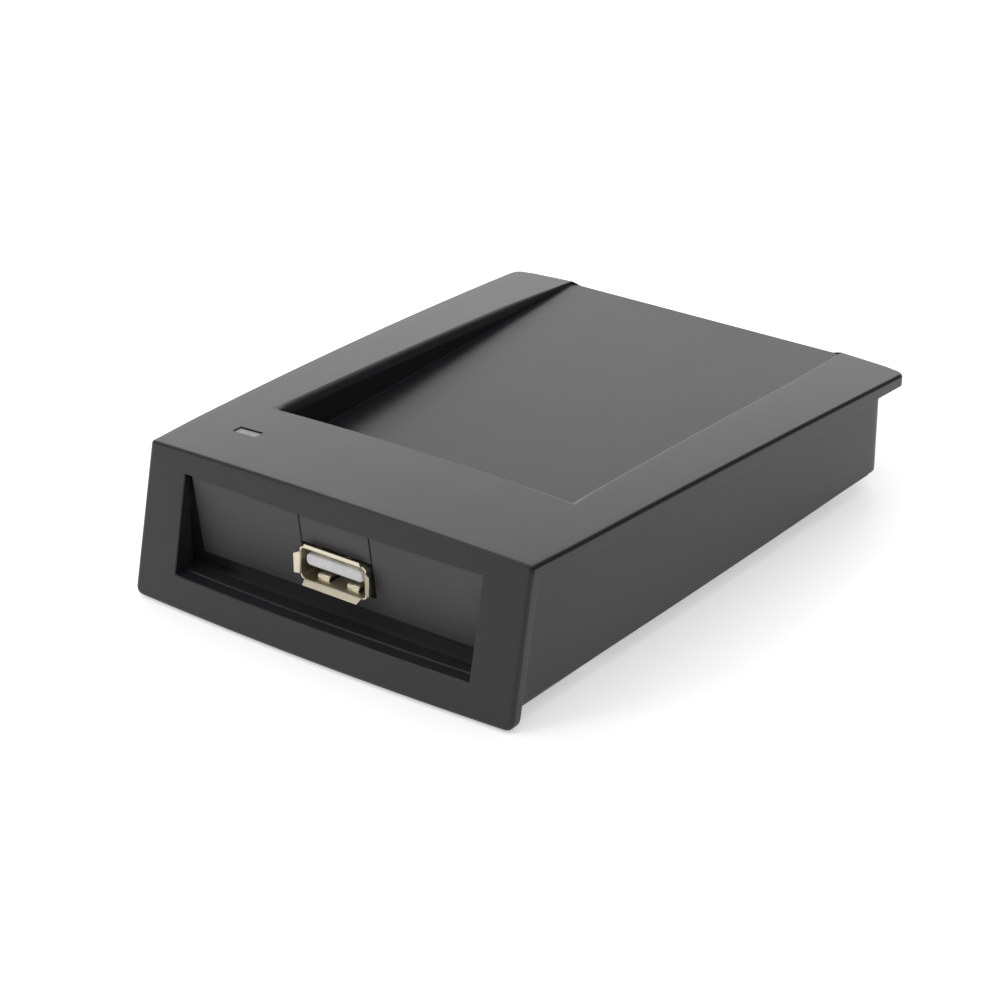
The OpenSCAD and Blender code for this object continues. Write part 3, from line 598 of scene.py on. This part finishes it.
def plated(name, rgb, roughness, brushing=(1, 1, 1), wear=1.0):
    """Plated sheet metal with fine drawing lines and light tarnish."""
    n = Nodes(name)
    lines, cloud = n.noise(2600, 3, 0.6, brushing), n.noise(420, 4, 0.55)
    n.tint(n.ramp(cloud, 0, 1), scaled(rgb, 1 - 0.18 * wear), scaled(rgb, 1 + 0.1 * wear))
    n.link(n.ramp(cloud, roughness - 0.05 * wear, roughness + 0.09 * wear), "Result", n.shader, "Roughness")
    n.set(Metallic=1.0)
    n.bumps((lines, 0.1 * wear, 0.00002), (cloud, 0.06 * wear, 0.00004))
    return n.material


def plain(name, rgb, roughness, scale=700, metallic=0.0, bump=0.1):
    """Satin surface with small variation."""
    n = Nodes(name)
    cloud, fine = n.noise(scale, 3, 0.5), n.noise(scale * 6, 2, 0.5)
    n.tint(n.ramp(cloud, 0, 1), scaled(rgb, 0.9), scaled(rgb, 1.08))
    n.link(n.ramp(cloud, roughness - 0.04, roughness + 0.05), "Result", n.shader, "Roughness")
    n.set(Metallic=metallic)
    n.bumps((fine, bump, 0.00002))
    return n.material


def clear(name, rgb, roughness, transmission):
    """Clear plastic, lightly frosted."""
    n = Nodes(name)
    cloud = n.noise(900, 3, 0.5)
    n.tint(n.ramp(cloud, 0, 1), scaled(rgb, 0.94), scaled(rgb, 1.05))
    n.link(n.ramp(cloud, roughness, roughness + 0.08), "Result", n.shader, "Roughness")
    n.set(Transmission_Weight=transmission, IOR=1.49)
    n.bumps((cloud, 0.05, 0.00002))
    return n.material


def etched_board(name, rgb):
    """Solder mask over glass cloth, with the weave faintly showing."""
    n = Nodes(name)
    weave = n.add("ShaderNodeTexWave", Scale=420.0, Distortion=1.2, Detail=1.0)
    n.link(n.coords, "Object", weave, "Vector")
    cloud = n.noise(160, 4, 0.6)
    n.tint(n.ramp(cloud, 0, 1), scaled(rgb, 0.75), scaled(rgb, 1.25))
    n.set(Roughness=0.3, Coat_Weight=0.4, Coat_Roughness=0.15)
    n.bumps((weave, 0.05, 0.00002), (cloud, 0.06, 0.00003))
    return n.material


def finish_of(scene):
    """All the finishes, by material slot."""
    f = scene.reader_finish
    return {
        "black_case": lambda: moulded("Moulded_black", f.case, f.roughness, f.grain, 1.47),
        # Its colour is partly painted light: raised to make up for the shade in the recess behind the front
        # frame.
        "textured_case": lambda: moulded("Textured_black", f.panel, 0.6, f.grain * 1.5, 1.54),
        "clear_lens": lambda: clear("Frosted_lens", f.lens, 0.3, 0.15),
        "clear_lamp": lambda: clear("Clear_epoxy", (0.85, 0.87, 0.85), 0.08, 0.85),
        "tin_plate": lambda: plated("Tin_plate", (0.72, 0.72, 0.7), 0.32),
        "white_plastic": lambda: plain("White_nylon", f.white, 0.38),
        "nickel_plate": lambda: plated("Warm_nickel", f.metal, 0.33, (1, 0.2, 1), 0.25),
        "gold_plate": lambda: plated("Gold_plate", (0.8, 0.58, 0.26), 0.22),
        "green_board": lambda: etched_board("Solder_mask", f.board),
        "copper_track": lambda: plated("Copper", (0.62, 0.3, 0.15), 0.35),
        "black_header": lambda: plain("Black_nylon", (0.02, 0.02, 0.02), 0.5),
        "chip_epoxy": lambda: plain("Chip_epoxy", (0.03, 0.03, 0.032), 0.55, 900),
        "crystal_can": lambda: plated("Drawn_can", (0.7, 0.7, 0.68), 0.3, (0.3, 1, 1)),
        "blue_sleeve": lambda: plain("Shrunk_sleeve", (0.02, 0.03, 0.12), 0.28, 500),
        "ferrite": lambda: plain("Ferrite", (0.05, 0.05, 0.055), 0.6, 1200, bump=0.3),
        "tan_ceramic": lambda: plain("Tan_ceramic", (0.5, 0.38, 0.25), 0.5, 1200),
        "zinc_screw": lambda: plated("Zinc_plate", (0.6, 0.6, 0.6), 0.34),
        "black_rubber": lambda: plain("Rubber", f.rubber, 0.8, 900, bump=0.35),
    }


def finish(slot):
    return finish_of(bpy.context.scene)[slot]()


# Operators


class PieceOperator(bpy.types.Operator):
    """Builds one group of pieces"""
    bl_options = {"REGISTER", "UNDO"}

    def execute(self, context):
        self.make(context, Shape(context.scene))
        return {"FINISHED"}


class READER_OT_housing(PieceOperator):
    """Builds the upper housing: top plate, walls, front frame and card tray"""
    bl_idname = "card_reader.housing"
    bl_label = "Upper Housing"

    def tray_cut(self, s, count=6):
        """The tray's hollow, whose upper edge flares out in a round lip."""
        t, c = s.t, s.c
        ys = steps(c.case_length + 9, t.start, 16)

        def layer(out, high):
            left = [(-s.half_tray - out(y), y, high(y)) for y in ys]
            left[-1] = (left[-1][0], t.start - 0.7 * out(t.start), left[-1][2])
            return left + [(-x, y, z) for x, y, z in reversed(left)]
        layers = [layer(lambda y: 0, s.floor)]
        for k in range(count + 1):
            a = math.radians(80) * k / count
            layers.append(layer(lambda y, a=a: s.lip(y) * (1 - math.cos(a)),
                                lambda y, a=a: s.top(y) - s.lip(y) * (1 - math.sin(a))))
        for up in (0.05, 30):
            layers.append(layer(lambda y: s.lip(y) * 0.92 + 0.25, lambda y, up=up: s.top(y) + up))
        bm = bmesh.new()
        rings = [[bm.verts.new(p) for p in ring] for ring in layers]
        n = len(rings[0])
        for a, b in zip(rings, rings[1:]):
            for i in range(n):
                bm.faces.new((a[i], a[(i + 1) % n], b[(i + 1) % n], b[i]))
        bm.faces.new(rings[0][::-1])
        bm.faces.new(rings[-1])
        bmesh.ops.recalc_face_normals(bm, faces=bm.faces)
        return bm

    def make(self, context, s):
        c, f, t, b = s.c, s.f, s.t, s.b
        length, wall_rear = c.case_length, s.wall_rear
        inset, half, nose = c.wall_inset, f.window_width / 2, s.bulge(0)

        # Planes well clear of the case, for the solids that cut it
        wide, ahead, above, past = 60, -30, 40, 9

        def mid(y):
            return (s.under(y) + s.top(y)) / 2

        def in_frame(z):
            return s.face(z) + s.back / 2
        walls = slab(lambda y: s.half(y) - inset, in_frame, wall_rear, c.wall_low, mid)
        hollow = slab(lambda y: s.half(y) - inset - c.wall, ahead, wall_rear - c.wall, -1.0, above)
        walls = combine(walls, [hollow], "DIFFERENCE")
        space = slab(wide, lambda z: s.face(z) + s.back, length + past, -past, s.under)
        space = combine(space, [walls], "DIFFERENCE")
        curve = [(x, f.rim_end + s.bulge(x)) for x in steps(half + f.rim, -half - f.rim, 20)]
        rim = prism(
            [(-half - f.rim, -past), (half + f.rim, -past)] + curve,
            f.window_low - f.rim, f.window_top + f.rim
        )
        rim = combine(rim, [slab(wide, ahead, in_frame, -5, above)], "DIFFERENCE")
        tub = slab(
            s.half_tray + t.side, t.start - t.side, wall_rear - c.wall / 2,
            lambda y: s.floor(y) - t.floor, lambda y: max(mid(y), s.floor(y) - t.floor + 0.5)
        )
        window = slab(half, -20, lambda z: s.face(z) + s.back, f.window_low, f.window_top + 0.03)
        inner = half - f.rim_step / 2
        liner = box(-inner, inner, -20, nose + 0.3, f.window_low + f.rim_step, f.window_top)
        light_x, light_y = s.light
        w, l = t.light_width / 2, t.light_length / 2
        light = box(light_x - w, light_x + w, light_y - l, light_y + l, 20, 40)
        bm = combine(slab(s.half, s.face, length, f.low, s.top), [space], "DIFFERENCE")
        bm = combine(bm, [rim, tub], "UNION")
        bm = combine(bm, [self.tray_cut(s), window, liner, light], "DIFFERENCE")

        near = 0.06

        def corner(p, d, e):
            if abs(d.z) > 0.9 and abs(abs(p.x) - s.half(p.y)) < c.wall_inset + near:
                if p.y > length - near:
                    return c.plan_corner
                return c.wall_corner if abs(p.y - wall_rear) < near else 0
            return f.corner if abs(d.y) > 0.9 and p.z < f.low + near and p.y < 0 else 0

        def radius(p, d, e):
            side = abs(p.x)
            out = s.half(p.y) - side
            upper, lower = abs(p.z - s.top(p.y)) < near, abs(p.z - s.under(p.y)) < near
            front, back = abs(p.y - s.face(p.z)) < near, abs(p.y - s.face(p.z) - s.back) < near
            if p.y > length - near or (p.y > length - c.plan_corner - near and out < c.plan_corner + near):
                return 0.15 if lower else (c.edge if side > s.half_tray + c.lip else 0.2)
            wall = out - c.wall_inset
            if wall > -near and wall_rear - c.wall_corner - near < p.y < wall_rear + near and (
                    wall < c.wall_corner + near or p.y > wall_rear - near):
                return c.cove if lower else (0.35 if p.z < c.wall_low + near else 0)
            if abs(p.x - light_x) < w + near and abs(p.y - light_y) < l + near:
                return 0.05 if upper else 0
            edge = out < near
            if upper:
                return c.front_edge if front else (c.edge if edge else 0)
            if p.z < f.low + near or (p.z < f.low + f.corner + near and out < f.corner + near):
                return c.edge if front else 0.4
            if edge:
                return c.edge if front else (0.4 if back else 0.15)
            if front:
                return 0.2
            if abs(wall) < near:
                return c.cove if lower else (0 if back else (0.35 if p.z < c.wall_low + near else 0))
            if abs(p.z - s.floor(p.y)) < near and side < s.half_tray + near:
                return 0.2
            if back and side < half and p.z < f.window_low + f.rim_step + near:
                return 0.07
            if side < half + near and p.y < nose and not back:
                return 0.15
            return 0

        bm = rounded(rounded(bm, corner, 6), radius, 5)
        bm = sliced(bm, steps(-36, 36, 18), steps(0, 16, 8) + steps(24, 104, 10))
        for x, y in spots("cover_screws"):
            high = s.under(y) + 0.3
            ring = [(0, b.top + 9), (1.25, b.top + 9), (1.25, b.top), (3, b.top), (3, high), (0, high)]
            bm = merged(bm, moved(lathe(ring, 40), (x, y, 0)))
        obj = placed("upper_housing", bm, s, finish("black_case"), s.warp)
        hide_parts("top_housing")

        tab = slab(
            b.tab_width / 2, s.panel, lambda z: s.panel(z) + b.tab_thick / math.cos(b.panel_lean), b.tab_low,
            c.front_height - 1.5
        )
        obj = placed("socket_tab", rounded(tab, lambda p, d, e: 0.12, 3), s, finish("textured_case"))
        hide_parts("top_housing")


class READER_OT_base(PieceOperator):
    """Builds the lower cover with its base plate, end wall and leaning panel"""
    bl_idname = "card_reader.base"
    bl_label = "Lower Cover"

    def make(self, context, s):
        c, b = s.c, s.b
        near = 0.05

        def front(z):
            return s.face(z) + s.back + b.frame_play
        side = c.wall_inset + c.wall + b.play
        rear = s.wall_rear - b.inset + c.wall_inset
        plate = slab(lambda y: s.half(y) - b.inset, front, rear, b.low, c.wall_low)
        plug = slab(lambda y: s.half(y) - side, front, s.wall_rear - c.wall - b.play, b.low + 0.3, b.top)
        lean = math.cos(b.panel_lean)
        wall_front = b.panel_thick / lean

        def behind(gap):
            return lambda z: s.panel(z) + gap
        wall = slab(
            c.front_width / 2 - side, behind(wall_front), behind(wall_front + b.wall_thick / lean),
            b.top - 0.8, b.wall_top
        )
        pad = slab(b.panel_width / 2, s.panel, behind(wall_front + 0.4), b.panel_low, b.wall_top)
        bm = combine(plate, [plug, wall, pad], "UNION")
        screws, feet = spots("cover_screws"), spots("rubber_feet")
        well, bore = 2.7, 1.6
        cuts = [box(-b.notch_width / 2, b.notch_width / 2, -9, 9, b.notch_low, 40)]
        cuts += [rod(x, y, b.foot_radius, -1, b.foot_height) for x, y in feet]
        cuts += [rod(x, y, well, -1, b.low + 1) for x, y in screws]
        cuts += [rod(x, y, bore, -1, 9) for x, y in screws]
        bm = combine(bm, cuts, "DIFFERENCE")

        def away(p, places):
            return min(math.dist((p.x, p.y), place) for place in places)

        def radius(p, d, e):
            if abs(p.z - b.low) < near and away(p, screws) < 6:
                return 0.2 if away(p, screws) < well + near else 0.45
            if abs(p.z - b.low) < near:
                return 0.15 if away(p, feet) < b.foot_radius + near else 0.45
            if abs(p.y - s.panel(p.z)) < near:
                return 0.15 if abs(p.x) < b.notch_width / 2 + 0.1 else 0.3
            return 0

        bm = rounded(bm, lambda p, d, e: c.wall_corner if abs(d.z) > 0.9 and p.y > rear - near else 0, 6)
        bm = rounded(bm, radius, 4)
        bm = sliced(bm, steps(-36, 36, 18), steps(0, 96, 12))
        for x, y in spots("board_screws"):
            hole_low, post_low = b.top + 1.2, b.top - 0.2
            post = [(0, hole_low), (1.3, hole_low), (1.3, b.board_low), (2.8, b.board_low), (2.8, post_low),
                    (0, post_low)]
            bm = merged(bm, moved(lathe(post, 40), (x, y, 0)))
        obj = placed("lower_cover", bm, s, finish("textured_case"))
        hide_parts("bottom_cover")


class READER_OT_socket(PieceOperator):
    """Builds the plated socket shell and its white tongue"""
    bl_idname = "card_reader.socket"
    bl_label = "Socket"

    def ring(self, k, inset, count=6):
        w, h, r = k.width / 2 - inset, k.height / 2 - inset, k.corner - inset
        points = []
        for i, (sx, sz) in enumerate(((1, 1), (-1, 1), (-1, -1), (1, -1))):
            for j in range(count + 1):
                a = math.pi / 2 * (i + j / count)
                points.append((sx * (w - r) + r * math.cos(a), sz * (h - r) + r * math.sin(a)))
        return points

    def tube(self, k, inset, y0, y1):
        """Rounded prism along Y."""
        ring = self.ring(k, inset)
        return hexa([(x, y, k.centre + z) for y in (y1, y0) for x, z in ring])

    def strip(self, path, half, thick, ends=0.0):
        """Bent sheet: path holds (along Y, out from the axis) pairs; ends narrows the free end."""
        bm = bmesh.new()
        rows = []
        for i, (y, h) in enumerate(path):
            a, b = path[max(i - 1, 0)], path[min(i + 1, len(path) - 1)]
            d = Vector((b[0] - a[0], b[1] - a[1])).normalized()
            n = Vector((d.y, -d.x)) * thick / 2
            w = half - ends * (1 if i == 0 else 0.35 if i == 1 else 0)
            corners = ((-w, -1), (w, -1), (w, 1), (-w, 1))
            rows.append([bm.verts.new((x, y + s * n.x, h + s * n.y)) for x, s in corners])
        for a, b in zip(rows, rows[1:]):
            for i in range(4):
                bm.faces.new((a[i], a[(i + 1) % 4], b[(i + 1) % 4], b[i]))
        bm.faces.new(rows[0][::-1])
        bm.faces.new(rows[-1])
        bmesh.ops.recalc_face_normals(bm, faces=bm.faces)
        return rounded(bm, lambda p, d, e: thick * 0.22, 2)

    def turned(self, bm, angle, k):
        bm.transform(Matrix.Translation((0, 0, k.centre)) @ Matrix.Rotation(angle, 4, "Y"))
        return bm

    def make(self, context, s):
        k = s.s
        m, back = k.metal, k.front + k.depth
        mouth = self.tube(k, m, k.front - 1, back - m)
        shell = combine(self.tube(k, 0, k.front, back), [mouth], "DIFFERENCE")
        cuts = []
        middle = k.front + k.finger_start + k.finger_length / 2
        for x in (-1, 1):
            for z in (-1, 1):
                x0, z0, w = x * k.finger_pitch / 2, k.centre + z * k.height / 2, k.finger_width / 2 + m
                cuts.append(box(x0 - w, x0 + w, middle - k.finger_length / 2, middle + k.finger_length / 2,
                                z0 - 0.6, z0 + 0.6))
        shell = combine(shell, cuts, "DIFFERENCE")
        shell = rounded(
            shell, lambda p, d, e: 0.07 if min(abs(p.y - k.front), abs(p.y - back)) < 0.02 else 0.03, 2
        )
        pieces = []
        turn = 0.4
        for angle, reach, across, flare, long in (
            (0, k.height, k.width, 1.7, 0.76), (math.pi, k.height, k.width, 0.67, 1.12),
            (math.pi / 2, k.width, k.height, 1.35, 1.04), (-math.pi / 2, k.width, k.height, 1, 1),
        ):
            bend, half = k.lip_flare * flare, across / 2 - k.lip_corner
            path, y, h = [], k.front + 0.15, reach / 2 - m / 2
            path.append((y, h))
            for i in range(5):
                a = bend * (i + 0.5) / 5
                y, h = y - turn / 5 * math.cos(a), h + turn / 5 * math.sin(a)
                path.append((y, h))
            rest = k.lip * long - turn
            path.append((y - rest * math.cos(bend), h + rest * math.sin(bend)))
            pieces.append(self.turned(self.strip(path[::-1], half, m, 0.3), angle, k))
        for angle in (0, math.pi):
            for x in (-1, 1):
                end = k.front + k.finger_start + k.finger_length + m / 2
                reach, n = k.height / 2 - m / 2, 8
                path = [(end - i / n * (k.finger_length - 0.5), reach - 0.85 * (i / n) ** 1.35)
                        for i in range(n + 1)]
                y, h = path[-1]
                path += [(y - 0.35, h + 0.1), (y - 0.5, h + 0.4), (y - 0.55, h + 0.75)]
                bm = self.strip(path[::-1], k.finger_width / 2, m, 0.1)
                bm.transform(Matrix.Translation((x * k.finger_pitch / 2, 0, 0)))
                pieces.append(self.turned(bm, angle, k))
        shell = merged(shell, *pieces)
        obj = placed("socket_shell", shell, s, finish("nickel_plate"))
        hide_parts("usb_shell")

        low = k.centre + k.height / 2 - m - k.tongue_gap - k.tongue_thick
        half = k.tongue_width / 2
        tongue = box(-half, half, k.front + k.tongue_start, back - m, low, low + k.tongue_thick)
        tongue = rounded(tongue, lambda p, d, e: 0.7 if abs(d.y) > 0.9 else 0, 5)
        tongue = rounded(tongue, lambda p, d, e: 0.35 if p.y < k.front + k.tongue_start + 0.1 else 0, 3)
        grooves = [box(x - 0.55, x + 0.55, k.front + k.tongue_start + 0.95, back + 1, low - 1, low + 0.05)
                   for x in (-3.5, -1, 1, 3.5)]
        tongue = combine(tongue, grooves, "DIFFERENCE")
        block = rounded(self.tube(k, m + 0.02, back - m - 2.4, back - m - 0.02), lambda p, d, e: 0.05, 2)
        obj = placed("socket_tongue", merged(tongue, block), s, finish("white_plastic"))
        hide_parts("usb_insulator")


class READER_OT_light(PieceOperator):
    """Builds the lens of the status light"""
    bl_idname = "card_reader.light"
    bl_label = "Status Light"

    def make(self, context, s):
        t, c = s.t, s.c
        x, y = s.light
        z = c.front_height + s.across(x) + s.along(y) - y * s.fall
        w, l = t.light_width / 2 - 0.05, t.light_length / 2 - 0.05
        bm = box(-w, w, -l, l, -c.plate - 0.8, -t.lens_depth)
        bm = rounded(bm, lambda p, d, e: 0.12 if p.z > -1 else 0.05, 3)
        rim = rounded(box(-w - 0.8, w + 0.8, -l - 0.8, l + 0.8, -c.plate - 0.8, -c.plate - 0.02),
                      lambda p, d, e: 0.1, 2)
        bm = merged(bm, rim)
        across, along = s.slopes(x, y)
        tilt = Matrix.Rotation(math.atan(along), 4, "X") @ Matrix.Rotation(-math.atan(across), 4, "Y")
        bm.transform(Matrix.Translation((x, y - s.bulge(x) * s.near_front(y), z)) @ tilt)
        obj = placed("light_window", bm, s, finish("clear_lens"))
        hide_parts("light_lens")


class READER_OT_feet(PieceOperator):
    """Builds the four rubber feet"""
    bl_idname = "card_reader.feet"
    bl_label = "Rubber Feet"

    def make(self, context, s):
        b = s.b
        r, h = b.foot_radius, b.foot_height
        profile = [(0, 0.12), (r * 0.55, 0.1), (r * 0.62, 0.0), (r - 0.6, 0.0)]
        turns = steps(0.3, math.pi / 2, 4)
        profile += [(r - 0.6 + 0.6 * math.sin(a), 0.6 - 0.6 * math.cos(a)) for a in turns]
        profile += [(r, h), (0, h)]
        feet = [moved(lathe(profile, 72), (x, y, 0)) for x, y in spots("rubber_feet")]
        obj = placed("feet", merged(feet[0], *feet[1:]), s, finish("black_rubber"))
        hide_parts("rubber_feet")


class READER_OT_internals(bpy.types.Operator):
    """Gives the carried-over pieces their finishes"""
    bl_idname = "card_reader.internals"
    bl_label = "Boards and Fasteners"
    bl_options = {"REGISTER", "UNDO"}

    def execute(self, context):
        slots = {p["node"]: p["material_slot"] for p in frame["record"]["subparts"]}
        made = {}
        for name, node in frame["nodes"].items():
            if node.hide_render:
                continue
            slot = slots[name]
            if slot not in made:
                made[slot] = finish(slot)
            node.data.materials.clear()
            node.data.materials.append(made[slot])
        return {"FINISHED"}


# Camera solved from the photograph: lens and sensor in millimetres, place in metres, turn in radians
LENS, SENSOR, LENS_SHIFT = 98.9422, 36, (0.02906, 0.00386)
CAMERA_PLACE = (0.23930406, -0.33465009, 0.2119774)
CAMERA_TURN = (1.10417304, 0.00945391, 0.63677939)

# Lamps, in metres: name, place, size, the setting that holds the power, and the point aimed at
LAMPS = (
    ("Lamp_top", (-0.25, 0, 1.0), (1.0, 1.0), "top_power", (-0.25, 0, 0)),
    ("Lamp_back", (-0.6, 0.86, 0.45), (1.2, 0.6), "back_power", (0, 0, 0.01)),
    ("Lamp_front", (-0.55, -0.82, 0.73), (0.3, 0.3), "front_power", (0, 0, 0.01)),
)


class READER_OT_stage(bpy.types.Operator):
    """Sets the camera, the table and the soft light"""
    bl_idname = "card_reader.stage"
    bl_label = "Stage"
    bl_options = {"REGISTER", "UNDO"}

    def lamp(self, name, place, size, power, aim):
        data = bpy.data.lights.new(name, "AREA")
        data.shape, data.size, data.size_y, data.energy = "RECTANGLE", size[0], size[1], power
        obj = bpy.data.objects.new(name, data)
        bpy.context.scene.collection.objects.link(obj)
        obj.location = place
        obj.rotation_euler = (Vector(aim) - Vector(place)).to_track_quat("-Z", "Y").to_euler()

    def execute(self, context):
        scene = context.scene
        g = scene.reader_stage
        data = bpy.data.cameras.new("Camera")
        data.lens, data.sensor_width, data.sensor_fit = LENS, SENSOR, "HORIZONTAL"
        data.shift_x, data.shift_y = LENS_SHIFT
        data.clip_start, data.clip_end = 0.01, 20
        camera = bpy.data.objects.new("Camera", data)
        scene.collection.objects.link(camera)
        camera.location, camera.rotation_euler = CAMERA_PLACE, CAMERA_TURN
        scene.camera = camera

        bm = bmesh.new()
        bmesh.ops.create_grid(bm, x_segments=8, y_segments=8, size=3)
        floor = as_object("table", new_mesh("table", bm))
        n = Nodes("Table")
        cloud = n.noise(6, 3, 0.5)
        n.tint(n.ramp(cloud, 0, 1), scaled(g.floor, 0.995), scaled(g.floor, 1.0))
        path, seen, shown = n.add("ShaderNodeLightPath"), n.add("ShaderNodeMath"), n.add("ShaderNodeMath")
        seen.operation, shown.operation = "MAXIMUM", "MAXIMUM"
        n.link(path, "Is Camera Ray", seen, 0)
        n.link(path, "Is Glossy Ray", seen, 1)
        n.link(seen, "Value", shown, 0)
        n.link(path, "Is Transmission Ray", shown, 1)
        glow = n.add("ShaderNodeMapRange")
        glow.inputs["To Max"].default_value = g.floor_glow
        n.link(shown, "Value", glow, "Value")
        n.link(glow, "Result", n.shader, "Emission Strength")
        n.set(Roughness=0.6, Emission_Color=(1, 1, 1, 1))
        floor.data.materials.append(n.material)

        for name, place, size, setting, aim in LAMPS:
            self.lamp(name, place, size, getattr(g, setting), aim)

        self.world(scene, g)
        scene.view_settings.view_transform = "Standard"
        return {"FINISHED"}

    def world(self, scene, g):
        """White to the camera, plain light on the object, and a sky that glossy surfaces show."""
        scene.world = bpy.data.worlds.new("World")
        scene.world.use_nodes = True
        tree = scene.world.node_tree
        tree.nodes.clear()

        def add(kind):
            return tree.nodes.new("ShaderNode" + kind)

        def link(a, out, b, into):
            tree.links.new(a.outputs[out], b.inputs[into])
        out, path, coords = add("OutputWorld"), add("LightPath"), add("TexCoord")
        split, rise, side = add("SeparateXYZ"), add("MapRange"), add("MapRange")
        link(coords, "Generated", split, 0)
        link(split, "Z", rise, "Value")
        link(split, "X", side, "Value")
        for node, keys in ((rise, (0.12, 0.25, 1.0, g.sky_left)), (side, (-0.35, 0.35, 1.0, g.sky_right))):
            for key, value in zip(("From Min", "From Max", "To Min", "To Max"), keys):
                node.inputs[key].default_value = value
        link(rise, "Result", side, "To Min")
        seen, light, gloss = (add("Background") for _ in range(3))
        for node in (seen, light, gloss):
            node.inputs["Color"].default_value = (1, 1, 1, 1)
        light.inputs["Strength"].default_value = g.sky
        link(side, "Result", gloss, "Strength")
        bounced, glossy, camera_ray = add("Math"), add("MixShader"), add("MixShader")
        bounced.operation = "MAXIMUM"
        link(path, "Is Glossy Ray", bounced, 0)
        link(path, "Is Transmission Ray", bounced, 1)
        link(bounced, 0, glossy, "Fac")
        link(light, 0, glossy, 1)
        link(gloss, 0, glossy, 2)
        link(path, "Is Camera Ray", camera_ray, "Fac")
        link(glossy, 0, camera_ray, 1)
        link(seen, 0, camera_ray, 2)
        link(camera_ray, 0, out, "Surface")


class READER_PT_panel(bpy.types.Panel):
    """Lists the reader's pieces"""
    bl_label = "Card Reader"
    bl_idname = "READER_PT_panel"
    bl_space_type = "VIEW_3D"
    bl_region_type = "UI"
    bl_category = "Card Reader"

    def draw(self, context):
        for op in OPERATORS:
            self.layout.operator(op.bl_idname)


OPERATORS = (
    READER_OT_housing, READER_OT_base, READER_OT_socket, READER_OT_light, READER_OT_feet, READER_OT_internals,
    READER_OT_stage,
)


def register():
    for cls in (*GROUPS.values(), *OPERATORS, READER_PT_panel):
        bpy.utils.register_class(cls)
    for name, cls in GROUPS.items():
        setattr(bpy.types.Scene, name, bpy.props.PointerProperty(type=cls))


def unregister():
    for name in GROUPS:
        delattr(bpy.types.Scene, name)
    for cls in (READER_PT_panel, *reversed(OPERATORS), *reversed(list(GROUPS.values()))):
        bpy.utils.unregister_class(cls)


def main():
    register()
    for op in OPERATORS:
        group, name = op.bl_idname.split(".")
        if getattr(getattr(bpy.ops, group), name)() != {"FINISHED"}:
            raise RuntimeError(f"{op.bl_label} was not built")


if __name__ == "__main__":
    main()
